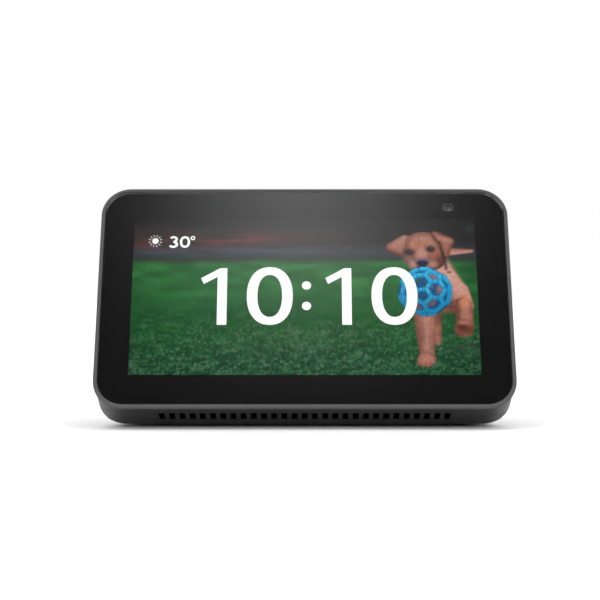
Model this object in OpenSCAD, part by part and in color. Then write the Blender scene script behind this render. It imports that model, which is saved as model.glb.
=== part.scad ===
// Small smart display: a glass-fronted wedge that leans back on a flat foot.
// +Z is up, -Y is the front, and the origin is the middle of the base at table level.

/* [Body] */
// Width across the front frame
body_w = 148; // [146:1:185]
// Length of the front face, measured up its slope
face_h = 86.8; // [84:0.2:108]
// Depth from the front edge to the back of the body
body_d = 73; // [71:1:92]
// Lean of the screen back from upright, in degrees
tilt = 25.5; // [22:0.5:31]
// Corner radius of the front frame
corner_r = 10.7; // [9:0.1:13]

/* [Front frame] */
// Depth of the frame band behind the face
band_d = 16; // [15:0.1:20]
// Width of the raised lip round the glass
lip_w = 1.4; // [1.1:0.1:1.8]
// Depth of the lip
lip_d = 1.7; // [1.4:0.1:2.2]
// Rounding of the lip's outer edge
lip_r = 0.9; // [0.5:0.1:1]
// Step from the lip down to the band
band_inset = 0.5; // [0.3:0.1:0.7]
// Wall of the frame
frame_wall = 2; // [1.6:0.1:2.5]

/* [Display] */
// Border beside and above the lit picture
border_w = 12.2; // [11.5:0.1:15]
// Border under the lit picture
border_foot = 12.8; // [12:0.1:16]
// Thickness of the cover glass
glass_t = 1.1; // [0.8:0.1:1.4]
// Depth of the glass below the lip
glass_recess = 0.2; // [0.1:0.05:0.4]
// Gap round the glass
glass_gap = 0.12; // [0.08:0.02:0.2]

/* [Chin slots] */
// Number of sound slots under the screen
slot_count = 29; // [21:2:33]
// Length of the row, between the middles of the end slots
slot_row = 100; // [90:1:110]
// Width of a slot
slot_w = 2.05; // [1.5:0.05:2.2]
// Length of a slot, from front to back
slot_l = 5.7; // [4:0.1:7]
// Depth of the slots' middle behind the face
slot_at = 8.85; // [6:0.05:9]

/* [Rear body] */
// How much narrower the back is than the frame, on each side
rear_taper = 9; // [7:0.5:11]
// Rounding of the back's upright corners
rear_corner_r = 22; // [20:0.5:24]
// Height of the upright part of the back
rear_upright = 22; // [21.5:0.5:27]
// Thickness of the knitted cover
fabric_t = 0.8; // [0.6:0.1:1.2]
// Wall of the rear shell
shell_wall = 2; // [1.6:0.1:2.4]

/* [Base] */
// Height of the body above the table
foot_proud = 1.2; // [0.8:0.1:1.5]
// Width of the rubber foot
foot_w = 110; // [90:1:112]
// Length of the rubber foot, front to back
foot_l = 44; // [36:1:46]
// Thickness of the base plate
plate_t = 1.8; // [1.6:0.1:2]

/* [Top controls] */
// Radius of a button cap
button_r = 4.3; // [3.5:0.1:4.4]
// Clearance round a cap
button_gap = 0.15; // [0.1:0.05:0.25]
// Height of a cap above the band
button_proud = 0.4; // [0.2:0.1:0.6]
// Distance between neighbouring buttons
button_pitch = 18; // [17:0.5:20]
// Depth of the controls' row behind the face
control_at = 9.5; // [9.3:0.1:9.7]

/* [Camera] */
// Camera's distance from the frame's side
cam_side = 21.5; // [20.5:0.1:23]
// Camera's distance below the frame's top edge
cam_drop = 7.2; // [7:0.1:7.4]
// Travel of the privacy shutter
shutter_travel = 5.6; // [5.2:0.1:5.8]

/* [Ports] */
// Radius of the power opening in the port bezel
power_open_r = 3.5; // [3.3:0.05:3.7]
// Radius of the power jack's mouth
jack_r = 2.85; // [2.7:0.05:3]
// Radius of the power jack's pin
jack_pin_r = 1; // [0.8:0.05:1.1]

/* [Speaker] */
// Side of the loudspeaker's square flange
driver_size = 44; // [42:0.5:45]
// Radius of the voice coil's former
coil_r = 6.3; // [5.8:0.1:6.4]

/* [Hidden] */
$fn = 48;

past = 1;               // how far a cut runs past the face that it opens
fit_gap = 0.2;          // clearance between parts that drop into each other
screw_gap = 0.05;       // clearance of a screw in its hole

st = sin(tilt);
ct = cos(tilt);
// The frame's lip touches the front of the depth, and the band's back edge meets the base plane.
face_y0 = -body_d / 2 - lip_r * (st + ct - 1);
face_z0 = foot_proud + band_d * st - band_inset * ct;

// Insets are measured inwards from the frame's outer edge.
wall_inset = band_inset + frame_wall;
glass_inset = lip_w + glass_gap;
ledge_inset = 5;
glass_back = glass_recess + glass_t;
mask_front = glass_back + 0.02;
mask_back = glass_back + 0.1;
ledge_w1 = mask_back + 0.2;
ledge_w2 = ledge_w1 + 1.6;
band_top = face_h - band_inset;
wall_top = face_h - wall_inset;

// Display stack, as depths behind the face.
lcd_back = ledge_w1 + 1.4;
light_back = lcd_back + 1.8;
tray_back = light_back + 0.4;
tray_wall = 0.6;
active_x = body_w / 2 - border_w;
active_u0 = border_foot;
active_u1 = face_h - border_w;
lcd_side = 1.6;
lcd_head = 1;
lcd_chin = 4.4;         // room for the panel's driver edge below the picture

mid_w1 = 6;
mid_w2 = 7.5;
mid_u0 = 4;
mid_u1 = active_u1 + lcd_head + 1;
board_w1 = 11;
board_w2 = 12.6;
board_u0 = 42;
board_u1 = mid_u1 - 0.6;
board_x0 = 26 - body_w / 2;
board_x1 = body_w / 2 - 8;
board_inset = 3;
connector_t = 1;

// M2 screws, used for the frame and the boards.
screw_r = 0.85;
screw_head_r = 1.8;
screw_head_t = 1.2;
screw_l = 4.1;
boss_r = 2.4;
frame_boss_inset = 6.4;
frame_boss_u = [14, face_h / 2, face_h - 14];

// Top controls: three button caps in a row, the microphones outside them.
button_x = [-4 - button_pitch, -4, -4 + button_pitch];
button_bore_r = button_r + button_gap;
flange_r = button_r + 1;
button_travel = 0.4;
flange_t = 0.9;
flange_top = wall_top - fit_gap;
stem_r = 1.2;
stem_end = wall_top - 2.9;
dome_top = stem_end - 2 * button_travel;
dome_size = 5;
dome_t = 1.6;
tray_u = dome_top - dome_t;      // upper face of the button board
button_board_t = 1;
button_board_w = 7.4;
mic_x = [button_x[0] - 16, button_x[2] + 16];
mic_hole_r = 0.5;
mic_t = 1;
post_x = [button_x[0] - button_pitch / 2, button_x[2] + button_pitch / 2];

// Camera and its shutter.
cam_x = body_w / 2 - cam_side;
cam_u = face_h - cam_drop;
cam_window = [4.4, 3.5];
lens_r = 1.5;
barrel_r = 2.1;
cam_front = 2.7;
cam_board_w1 = 5.2;
cam_board_w2 = mid_w1;
cam_board_u0 = mid_u1 + fit_gap;
cam_board_u1 = wall_top - 2.6;
shutter_x = cam_x + shutter_travel;
knob = [5, 1.5];
knob_proud = 0.7;
knob_at = 5.15;
knob_gap = 0.15;
blade = [5.6, 0.4];
blade_w1 = 1.9;
blade_u0 = cam_u - cam_window.y / 2 - 0.6;
carriage_u0 = wall_top - 1.6;
carriage_u1 = wall_top - fit_gap;
carriage_w1 = ledge_w2 + 0.3;
carriage_w2 = 6.9;

// Rear body: upright at the back, then an arc forward to a narrow crest behind the band.
shadow_gap = 0.4;
rear_w = band_d + shadow_gap;
rear_draw_w = rear_w - 0.3;      // drawn from a little inside the band, then cut off at rear_w
rear_y = body_d / 2;
rear_half = body_w / 2 - rear_taper;
crest_flat = 0.6;
crest_y = face_y0 + band_top * st + (rear_w + crest_flat) * ct;
crest_z = face_z0 + band_top * ct - (rear_w + crest_flat) * st;
rear_rise = crest_z - rear_upright;
rear_run = rear_y - crest_y;
rear_arc_r = (rear_run * rear_run + rear_rise * rear_rise) / (2 * rear_run);
crest_corner_r = 14;
crest_half = rear_half - 5;
turn_step = 15;         // degrees between the points of a rounded corner
arc_steps = 8;          // levels up the back's arc
glue_gap = 0.15;
shell_inset = fabric_t + glue_gap;
shell_inner = shell_inset + shell_wall;
spigot_w1 = band_d - 4;
spigot_gap = 0.15;
spigot_wall = 1.6;

// Base plate and foot.
plate_margin = 3.4;
plate_y0 = face_y0 + band_d * ct + band_inset * st + 3.2;
plate_y1 = rear_y - plate_margin;
plate_half = rear_half - plate_margin - 2;
plate_corner_r = rear_corner_r - plate_margin;
plate_front_r = 6;
plate_z1 = foot_proud + plate_t;
foot_recess = 0.6;
foot_y = (plate_y0 + plate_y1) / 2 - 1;
foot_r = 12;
floor_z = foot_proud + shell_inner;

// Loudspeaker, facing down, with its box above it.
spk_x = -16;
box_w = driver_size + 16;
box_z0 = 9;
box_z1 = 36;
box_wall = 2;
box_front_w = 10;
basket_r = driver_size / 2 - 3.8;
cone_r = basket_r - 2.7;
neck_r = basket_r - 4.7;
magnet_r = basket_r - 3.2;
plate_z = 18;                    // underside of the magnet's top plate
top_plate_t = 2;
magnet_t = 5;
yoke_t = 2;
yoke_z1 = plate_z + top_plate_t + magnet_t + yoke_t;
yoke_gap = 1.3;                  // between the magnet and the box's sloping front wall
spk_y = slope_y(yoke_z1, box_front_w + box_wall) + magnet_r + yoke_gap;
box_y1 = spk_y + driver_size / 2 + 2.5;
gasket_t = 0.4;
flange_z1 = box_z0 - gasket_t;
flange_z0 = flange_z1 - 1.2;
box_hole_r = basket_r + 0.6;
pole_r = coil_r - 0.3;
gap_r = coil_r + 0.9;
cone_z = flange_z0 + 0.2;        // underside of the cone's rim
cone_t = 0.4;
former_z0 = 13;
former_t = 0.2;
roll_r = 1.4;
roll_at = cone_r + roll_r;
spider_z = 15;
driver_screw = driver_size / 2 - 3.2;

// Base screws: four into the speaker box and two into posts beside the ports.
long_screw_z = 12;
base_boss_r = 3;
base_screw_r = 1.1;
base_head_r = 2.1;
box_screws = [for (x = [spk_x - box_w / 2 + 3, spk_x + box_w / 2 - 3], y = [spk_y - 14, box_y1 - 4]) [x, y]];
side_screws = [[rear_half - 17, spk_y - 10], [rear_half - 17, box_y1 - 8]];

// Ports, in a bezel let into the upright part of the back.
port_win = [27.6, 13];
bezel_rim = 1.3;
port_x = rear_half - rear_corner_r - port_win.x / 2 - bezel_rim;
port_z = 13.6;
bezel_front = rear_y - 1.2;
bezel_flange_y1 = rear_y - shell_inner - fit_gap;
bezel_flange_t = 1.2;
bezel_back = bezel_flange_y1 - bezel_flange_t;
jack_x = port_x - 5.5;
jack_z = 14;
jack_mouth = bezel_back - 0.6;
jack_body = [9, 10, 10.4];
pin_back = 1.5;
port_board_z1 = jack_z - jack_body.z / 2;
port_board_t = 1.2;
port_board_y0 = jack_mouth - 19.6;
usb_x = port_x + 7.5;
usb_size = [7.6, 5.6, 2.9];
usb_wall = 0.3;
usb_z = port_board_z1 + usb_size.z / 2;
cable_x = port_x + 5;
cable_r = 1.2;

// Places the children in face coordinates: x across, y up the slope, and z out of the face.
module on_face() {
    translate([0, face_y0, face_z0]) rotate([90 - tilt, 0, 0]) children();
}

// A flat layer of the children's outline between depths w1 and w2 behind the face.
module layer(w1, w2) {
    translate([0, 0, -w2]) linear_extrude(w2 - w1) children();
}

// Turns the children to stand up the face's slope, at x, height u and depth w.
module up_slope(x, u, w) {
    translate([x, u, -w]) rotate([-90, 0, 0]) children();
}

// A block in face coordinates, from its two ends in x, height u and depth w.
module face_block(x1, x2, u1, u2, w1, w2) {
    translate([x1, u1, -w2]) cube([x2 - x1, u2 - u1, w2 - w1]);
}

module rounded_rect(size, r) {
    square([size.x - 2 * r, size.y], center = true);
    square([size.x, size.y - 2 * r], center = true);
    for (sx = [-1, 1], sy = [-1, 1])
        translate([sx * (size.x / 2 - r), sy * (size.y / 2 - r)]) circle(r);
}

// The frame's outline, moved in by inset.
module face_outline(inset) {
    translate([0, face_h / 2])
        rounded_rect([body_w - 2 * inset, face_h - 2 * inset], corner_r - inset);
}

module face_window(x_half, u0, u1) {
    translate([-x_half, u0]) square([2 * x_half, u1 - u0]);
}

// Sweeps a section round the frame: section x is the distance from the corner's centre.
module round_frame() {
    half_x = body_w / 2 - corner_r;
    half_u = face_h / 2 - corner_r;
    translate([0, face_h / 2, 0])
        for (side = [0:3]) {
            out = side % 2 == 0 ? half_x : half_u;
            run = side % 2 == 0 ? half_u : half_x;
            rotate([0, 0, 90 * side]) translate([out, run, 0]) {
                rotate_extrude(angle = 90) children();
                rotate([90, 0, 0]) linear_extrude(2 * run) children();
            }
        }
}

// Point of a frame section from its inset and its depth.
function sec(inset, w) = [corner_r - inset, -w];

module slot_cuts() {
    pitch = slot_row / (slot_count - 1);
    for (i = [0:slot_count - 1])
        up_slope(-slot_row / 2 + i * pitch, -past, slot_at)
            linear_extrude(wall_inset + 2 * past) rounded_rect([slot_w, slot_l], 0.5);
}

module button_bores() {
    for (x = button_x)
        up_slope(x, wall_top - past, control_at) cylinder(r = button_bore_r, h = frame_wall + 2 * past);
    for (x = mic_x)
        up_slope(x, wall_top - past, control_at) cylinder(r = mic_hole_r, h = frame_wall + 2 * past);
}

module shutter_slot() {
    x1 = cam_x - knob.x / 2 - knob_gap;
    x2 = shutter_x + knob.x / 2 + knob_gap;
    face_block(x1, x2, wall_top - past, band_top + past,
               knob_at - knob.y / 2 - knob_gap, knob_at + knob.y / 2 + knob_gap);
}

// Room in the glass ledge for the shutter's blade and the camera.
module ledge_notch() {
    x1 = cam_x - blade.x / 2 - 0.6;
    x2 = shutter_x + blade.x / 2 + 0.6;
    face_block(x1, x2, face_h - ledge_inset - past, wall_top - 0.4, ledge_w1 + 0.1, ledge_w2 + past);
}

module front_frame() {
    color("#3b3d40") on_face() difference() {
        union() {
            round_frame() polygon(concat(
                [for (a = [0:15:90]) sec(lip_r * (1 - sin(a)), lip_r * (1 - cos(a)))],
                [sec(0, lip_d), sec(band_inset, lip_d), sec(band_inset, band_d),
                 sec(wall_inset, band_d), sec(wall_inset, ledge_w2), sec(ledge_inset, ledge_w2),
                 sec(ledge_inset, ledge_w1), sec(lip_w, ledge_w1), sec(lip_w, 0)]));
            frame_bosses();
            button_posts();
        }
        slot_cuts();
        button_bores();
        shutter_slot();
        ledge_notch();
        for (x = [-1, 1], u = frame_boss_u)
            translate([x * (body_w / 2 - frame_boss_inset), u, -mid_w1 - past])
                cylinder(r = screw_r + screw_gap, h = mid_w1 - ledge_w2 + past);
        for (x = post_x)
            up_slope(x, tray_u - past, control_at)
                cylinder(r = screw_r + screw_gap, h = wall_top - tray_u - 0.6 + past);
    }
}

module frame_bosses() {
    for (x = [-1, 1], u = frame_boss_u)
        translate([x * (body_w / 2 - frame_boss_inset), u, -mid_w1])
            cylinder(r = boss_r, h = mid_w1 - ledge_w1);
}

module button_posts() {
    for (x = post_x)
        up_slope(x, tray_u, control_at) cylinder(r = boss_r - 0.4, h = wall_top - tray_u + 0.5);
}

module cover_glass() {
    color("#202326", 0.35) on_face() layer(glass_recess, glass_back) face_outline(glass_inset);
}

module ink_mask() {
    color("#0b0b0c") on_face() layer(mask_front, mask_back) difference() {
        face_outline(glass_inset + 0.3);
        face_window(active_x, active_u0, active_u1);
        translate([cam_x, cam_u]) rounded_rect(cam_window, 0.8);
    }
}

module glass_adhesive() {
    color("#2a2a2a") on_face() layer(mask_back, ledge_w1) difference() {
        face_outline(glass_inset + 0.4);
        face_outline(ledge_inset - 0.4);
    }
}

module optical_adhesive() {
    color("#e8eef2", 0.5) on_face() layer(mask_back, ledge_w1)
        face_window(active_x + 1, active_u0 - 2, active_u1 + 0.6);
}

module lcd_panel() {
    color("#4f7d55") on_face() layer(ledge_w1, lcd_back)
        face_window(active_x + lcd_side, active_u0 - lcd_chin, active_u1 + lcd_head);
}

module backlight() {
    color("#f4f4ef") on_face() layer(lcd_back, light_back)
        face_window(active_x + lcd_side - fit_gap, active_u0 - 3.2, active_u1 + lcd_head - fit_gap);
}

module display_tray() {
    color("#b9bcc0") on_face() difference() {
        layer(lcd_back, tray_back)
            face_window(active_x + lcd_side + tray_wall, active_u0 - 3.2 - tray_wall,
                        active_u1 + lcd_head + tray_wall);
        layer(lcd_back - past, light_back)
            face_window(active_x + lcd_side, active_u0 - 3.2 - past - tray_wall, active_u1 + lcd_head);
    }
}

// Corners of the main board where it is screwed to the mid frame.
board_spots = [for (x = [board_x0 + board_inset, board_x1 - board_inset],
                    u = [board_u0 + board_inset, board_u1 - board_inset]) [x, u]];

module mid_frame() {
    color("#8f9499") on_face() difference() {
        union() {
            layer(mid_w1, mid_w2) translate([0, (mid_u0 + mid_u1) / 2])
                rounded_rect([body_w - 2 * (wall_inset + 0.7), mid_u1 - mid_u0], 7);
            face_block(cam_x + 3.5, cam_x + 10, mid_u1 - past, cam_board_u1, mid_w1, mid_w2);
            for (p = board_spots)
                translate([p.x, p.y, -board_w1]) cylinder(r = boss_r, h = board_w1 - mid_w2 + 0.5);
        }
        for (x = [-1, 1], u = frame_boss_u)
            translate([x * (body_w / 2 - frame_boss_inset), u, -mid_w2 - past])
                cylinder(r = screw_r + 0.25, h = mid_w2 - mid_w1 + 2 * past);
        for (p = board_spots)
            translate([p.x, p.y, -board_w1 - past])
                cylinder(r = screw_r + screw_gap, h = board_w1 - mid_w2 + past);
        flex_slot = 13;
        face_block(-flex_slot, flex_slot, board_u0 + 2, board_u0 + 3.6, mid_w1 - past, mid_w2 + past);
    }
}

// Ribbon of the panel: down its lower edge, up behind the tray and through the mid frame.
module display_flex() {
    half = 12;
    thin = 0.2;
    edge_u = active_u0 - lcd_chin - thin;
    turn_u = board_u0 + 2.8;
    back_w = tray_back + 0.2;
    color("#c98a3c") on_face() {
        face_block(-half, half, edge_u, edge_u + thin, ledge_w1 + 0.4, back_w + thin);
        face_block(-half, half, edge_u, turn_u, back_w, back_w + thin);
        face_block(-half, half, turn_u - thin, turn_u, back_w, board_w1 - connector_t);
    }
}

module camera_module() {
    base_r = 2.4;
    color("#26282b") on_face() translate([cam_x, cam_u, 0]) difference() {
        union() {
            translate([0, 0, -cam_board_w1]) cylinder(r = barrel_r, h = cam_board_w1 - cam_front);
            layer(cam_front + 1.3, cam_board_w1) rounded_rect([2 * base_r, 2 * base_r - 0.8], 0.4);
        }
        translate([0, 0, -cam_front - 0.8]) cylinder(r = lens_r, h = 0.8 + past);
    }
}

module camera_lens() {
    dome_r = 2.6;
    drop = sqrt(dome_r * dome_r - lens_r * lens_r);
    color("#1a2a44") on_face() translate([cam_x, cam_u, -cam_front - 0.8])
        rotate_extrude() intersection() {
            translate([0, -drop]) circle(dome_r);
            square([lens_r - 0.02, dome_r]);
        }
}

module camera_board() {
    color("#1f5f3a") on_face()
        face_block(cam_x - 7.5, cam_x + 10, cam_board_u0, cam_board_u1, cam_board_w1, cam_board_w2);
}

module camera_flex() {
    x1 = cam_x - 7;
    x2 = cam_x - 3.5;
    thin = 0.2;
    back_w = board_w1 - connector_t;
    color("#c98a3c") on_face() {
        face_block(x1, x2, cam_u, cam_u + thin, cam_board_w2, back_w);
        face_block(x1, x2, board_u1 - 4, cam_u + thin, back_w - thin, back_w);
    }
}

module shutter_slider() {
    color("#4b4d50") on_face() {
        face_block(shutter_x - knob.x / 2, shutter_x + knob.x / 2, carriage_u1, band_top + knob_proud,
                   knob_at - knob.y / 2, knob_at + knob.y / 2);
        face_block(shutter_x - 4, shutter_x + 4, carriage_u0, carriage_u1, carriage_w1, carriage_w2);
    }
}

module shutter_blade() {
    link_u0 = wall_top - 1.5;
    link_t = 0.4;
    color("#d9d9d6") on_face() {
        face_block(shutter_x - blade.x / 2, shutter_x + blade.x / 2, blade_u0, link_u0 + link_t,
                   blade_w1, blade_w1 + blade.y);
        face_block(shutter_x - blade.x / 2, shutter_x + blade.x / 2, link_u0, link_u0 + link_t,
                   blade_w1, carriage_w1);
    }
}

module shutter_guide() {
    x1 = cam_x - 7;
    x2 = body_w / 2 - corner_r - 0.3;
    color("#2e3033") on_face() {
        face_block(x1, x2, wall_top - 2.3, wall_top, carriage_w2 + fit_gap, carriage_w2 + 1.4);
        face_block(x1, x2, wall_top - 2.3, carriage_u0 - fit_gap, knob_at, carriage_w2 + 1.4);
    }
}

// A cap with a shallow dish, a flange that holds it under the wall, and a stem.
module button_cap(x) {
    cap_top = band_top + button_proud;
    dish_r = 60;
    dish_edge = button_r - 0.5;
    dish_up = sqrt(dish_r * dish_r - dish_edge * dish_edge);
    color("#45474a") on_face() up_slope(x, 0, control_at) rotate_extrude() difference() {
        union() {
            translate([0, stem_end]) square([stem_r, flange_top - stem_end]);
            translate([0, flange_top - flange_t]) square([flange_r, flange_t]);
            translate([0, flange_top - 0.1]) square([button_r, cap_top - flange_top + 0.1]);
        }
        translate([0, cap_top + dish_up]) circle(dish_r, $fn = 360);
        translate([-dish_r, 0]) square([dish_r, 2 * cap_top]);
    }
}

module volume_down_button() button_cap(button_x[0]);
module volume_up_button() button_cap(button_x[1]);
module mic_button() button_cap(button_x[2]);

module button_board() {
    w1 = control_at - button_board_w / 2;
    color("#1f5f3a") on_face() difference() {
        face_block(mic_x[0] - 3, mic_x[1] + 3, tray_u - button_board_t, tray_u, w1, w1 + button_board_w);
        for (x = post_x)
            up_slope(x, tray_u - button_board_t - past, control_at)
                cylinder(r = screw_r + 0.25, h = button_board_t + 2 * past);
    }
}

module dome_switches() {
    color("#c9ccd0") on_face() for (x = button_x) difference() {
        up_slope(x, tray_u, control_at) linear_extrude(dome_t)
            rounded_rect([dome_size, dome_size], 0.4);
        up_slope(x, tray_u + 0.4, control_at) cylinder(r = stem_r + 0.4, h = dome_t);
    }
}

module microphones() {
    color("#b8a15a") on_face() for (x = mic_x)
        up_slope(x, tray_u, control_at) linear_extrude(mic_t) rounded_rect([3.5, 2.7], 0.3);
}

module mic_seals() {
    color("#1d1d1e") on_face() for (x = mic_x)
        up_slope(x, tray_u + mic_t, control_at) linear_extrude(wall_top - tray_u - mic_t) difference() {
            circle(1.7);
            circle(mic_hole_r + 0.3);
        }
}

module button_flex() {
    x1 = button_x[0] - 6;
    back_w = board_w1 - connector_t;
    color("#c98a3c") on_face()
        face_block(x1, x1 + 6, board_u1 - 4, tray_u - button_board_t, back_w - 0.2, back_w);
}

module main_board() {
    color("#1f5f3a") on_face() difference() {
        face_block(board_x0, board_x1, board_u0, board_u1, board_w1, board_w2);
        for (p = board_spots)
            translate([p.x, p.y, -board_w2 - past])
                cylinder(r = screw_r + 0.25, h = board_w2 - board_w1 + 2 * past);
    }
}

chip_at = [0, (board_u0 + board_u1) / 2 + 2];
chip_t = 1.2;
pad_t = 0.5;
can_wall = 0.3;
can_size = [34, 20];
can_back = board_w2 + chip_t + pad_t + can_wall;

module processor() {
    color("#2b2b2d") on_face() translate(chip_at) layer(board_w2, board_w2 + chip_t)
        rounded_rect([13, 13], 0.3);
}

module thermal_pad() {
    color("#9fb7c9") on_face() translate(chip_at)
        layer(board_w2 + chip_t, board_w2 + chip_t + pad_t) rounded_rect([12, 12], 0.3);
}

module shield_can() {
    color("#c4c7ca") on_face() translate(chip_at) difference() {
        layer(board_w2, can_back) rounded_rect(can_size, 1);
        layer(board_w2 - past, can_back - can_wall)
            rounded_rect(can_size - [2 * can_wall, 2 * can_wall], 0.7);
    }
}

module heat_spreader() {
    fold = 1.2;
    color("#aeb2b6") on_face() translate(chip_at) {
        layer(can_back, can_back + fold) rounded_rect([60, 24], 2);
        for (s = [-1, 1])
            translate([s * (30 - fold / 2), 0]) layer(can_back + fold - 0.2, can_back + 3 * fold)
                rounded_rect([fold, 18], 0.4);
    }
}

module board_connectors() {
    front_w = board_w1 - connector_t;
    color("#e9e4d4") on_face() {
        face_block(-12.5, 12.5, board_u0 + 1.2, board_u0 + 4.2, front_w, board_w1);
        face_block(cam_x - 7.5, cam_x - 3, board_u1 - 5, board_u1 - 2, front_w, board_w1);
        face_block(button_x[0] - 6.5, button_x[0] + 0.5, board_u1 - 5, board_u1 - 2, front_w, board_w1);
        for (x = [spk_x + 6, cable_x])
            face_block(x - 3, x + 3, board_u0 + 3, board_u0 + 6, board_w2, board_w2 + 3);
    }
}

module wifi_antennas() {
    color("#b87333") on_face() for (s = [-1, 1])
        translate([s * (body_w / 2 - wall_inset - 0.15), face_h / 2, 0])
            translate([-0.15, -15, -spigot_w1 + 0.5]) cube([0.3, 30, 3.2]);
}

module m2_screw() {
    difference() {
        union() {
            cylinder(r = screw_r, h = screw_l);
            translate([0, 0, -screw_head_t]) cylinder(r = screw_head_r, h = screw_head_t);
        }
        translate([0, 0, -screw_head_t - past]) cylinder(r = 0.7, h = past + 0.7, $fn = 6);
    }
}

module frame_screws() {
    color("#8b8d90") on_face() for (x = [-1, 1], u = frame_boss_u)
        translate([x * (body_w / 2 - frame_boss_inset), u, -mid_w2]) m2_screw();
}

module board_screws() {
    color("#8b8d90") on_face() {
        for (p = board_spots) translate([p.x, p.y, -board_w2]) m2_screw();
        for (x = post_x) up_slope(x, tray_u - button_board_t, control_at) m2_screw();
    }
}

// Height on the face's slope of a point at height z and depth w, and its place from front to back.
function slope_u(z, w) = (z - face_z0 + w * st) / ct;
function slope_y(z, w) = face_y0 + slope_u(z, w) * st + w * ct;
function slope_z(u, w) = face_z0 + u * ct - w * st;

// Half the width of the face's outline, moved in by inset, at height u.
function outline_half(u, inset) =
    let (past_corner = max(0, corner_r - u, u - (face_h - corner_r)))
    body_w / 2 - corner_r + sqrt(max(0, pow(corner_r - inset, 2) - pow(past_corner, 2)));

// The back's place at height z, its half width and the radius of its corners.
function up_the_arc(z) = max(0, (z - rear_upright) / rear_rise);
function rear_at(z, inset) =
    rear_y - rear_arc_r + sqrt(pow(rear_arc_r - inset, 2) - pow(max(0, z - rear_upright), 2));
function rear_half_at(z, inset) = rear_half + (crest_half - rear_half) * pow(up_the_arc(z), 2) - inset;
function rear_corner_at(z, inset) = rear_corner_r + (crest_corner_r - rear_corner_r) * up_the_arc(z) - inset;

// Heights at which the rear body is drawn, close together where its front corners turn.
function rear_levels(inset) =
    let (low = foot_proud + inset,
         turned = slope_z(corner_r, rear_draw_w),
         turning = slope_z(face_h - corner_r, rear_draw_w),
         high = crest_z - 1.5 * inset)
    concat([for (a = [0:turn_step:90]) low + (turned - low) * (1 - cos(a))],
           [for (k = [0:arc_steps]) rear_upright + (turning - rear_upright) * k / arc_steps],
           [for (a = [90 - turn_step:-turn_step:0]) high - (high - turning) * (1 - cos(a))]);

// One level's outline: a straight front, sides that run to the back, and rounded back corners.
function rear_ring(z, inset) =
    let (y0 = slope_y(z, rear_draw_w),
         y1 = rear_at(z, inset),
         front = outline_half(slope_u(z, rear_draw_w), band_inset + inset),
         half = min(front, rear_half_at(z, inset)),
         r = min(rear_corner_at(z, inset), 0.7 * (y1 - y0)),
         to_front = [front - half + r, y0 - y1 + r],
         start = atan2(to_front.y, to_front.x) + acos(r / norm(to_front)),
         turns = [for (k = [0:turn_step:90]) start + (90 - start) * k / 90],
         right = concat([[front, y0]], [for (a = turns) [half - r + r * cos(a), y1 - r + r * sin(a)]]),
         count = len(right))
    concat([for (p = right) [p.x, p.y, z]],
           [for (k = [count - 1:-1:0]) [-right[k].x, right[k].y, z]]);

// The rear body's shape, moved in by inset.
module rear_volume(inset) {
    rings = [for (z = rear_levels(inset)) rear_ring(z, inset)];
    count = len(rings[0]);
    last = len(rings) - 1;
    polyhedron(
        points = [for (ring = rings, p = ring) p],
        faces = concat(
            [[for (i = [0:count - 1]) i]],
            [for (level = [0:last - 1], i = [0:count - 1], half = [0, 1])
                let (a = level * count + i, b = level * count + (i + 1) % count, right = 2 * i < count)
                half == 0 ? [a, a + count, right ? b : b + count] : [right ? a + count : a, b + count, b]],
            [[for (i = [count - 1:-1:0]) last * count + i]]));
}

// Everything behind the frame's band and its shadow gap.
module behind_band() {
    on_face() translate([-body_w, -face_h, -rear_w - 2 * body_d]) cube([2 * body_w, 3 * face_h, 2 * body_d]);
}

// The base plate's outline: small corners at the front and large ones at the back.
module plate_outline(grow) {
    half = plate_half + grow;
    y0 = plate_y0 - grow;
    y1 = plate_y1 + grow;
    front = plate_front_r;
    back = plate_corner_r;
    polygon([[front - half, y0], [half - front, y0], [half, y0 + front], [half, y1 - back],
             [half - back, y1], [back - half, y1], [-half, y1 - back], [-half, y0 + front]]);
    for (s = [-1, 1]) {
        translate([s * (half - front), y0 + front]) circle(front);
        translate([s * (half - back), y1 - back]) circle(back);
    }
}

module port_window(grow) {
    translate([port_x, rear_y + past, port_z]) rotate([90, 0, 0])
        linear_extrude(shell_inner + 2 * past) rounded_rect(port_win + [2 * grow, 2 * grow], 3 + grow);
}

// Rim of the shell that plugs into the frame's band, cut away round the buttons.
module spigot() {
    outer = wall_inset + spigot_gap;
    inner = outer + spigot_wall;
    root_w = rear_w + 0.5;
    reach = flange_r + 0.5;
    on_face() difference() {
        round_frame() polygon([sec(outer, spigot_w1), sec(outer, root_w),
                               sec(inner, root_w), sec(inner, spigot_w1)]);
        face_block(button_x[0] - reach, button_x[2] + reach, wall_top - 5, wall_top + past,
                   spigot_w1 - past, control_at + reach);
    }
}

module base_bosses() {
    for (p = box_screws) translate([p.x, p.y, plate_z1]) cylinder(r = base_boss_r, h = box_z0 - plate_z1);
    for (p = side_screws) translate([p.x, p.y, plate_z1])
        cylinder(r = base_boss_r, h = long_screw_z + 1 - plate_z1);
}

module rear_shell() {
    color("#2c2d2f") difference() {
        union() {
            intersection() {
                difference() {
                    rear_volume(shell_inset);
                    rear_volume(shell_inner);
                    translate([0, 0, plate_z1 - 3]) linear_extrude(floor_z + 3) sound_opening();
                }
                behind_band();
            }
            spigot();
            base_bosses();
        }
        translate([0, 0, plate_z1 - 5]) linear_extrude(5.05) plate_outline(fit_gap);
        port_window(0);
        for (p = concat(box_screws, side_screws))
            translate([p.x, p.y, 0]) cylinder(r = base_screw_r + screw_gap, h = long_screw_z);
    }
}

// Opening in the shell's floor under the loudspeaker, between the screw bosses.
module sound_opening() {
    translate([spk_x, spk_y]) rounded_rect([driver_size + 2, driver_size - 10], 4);
}

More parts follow.
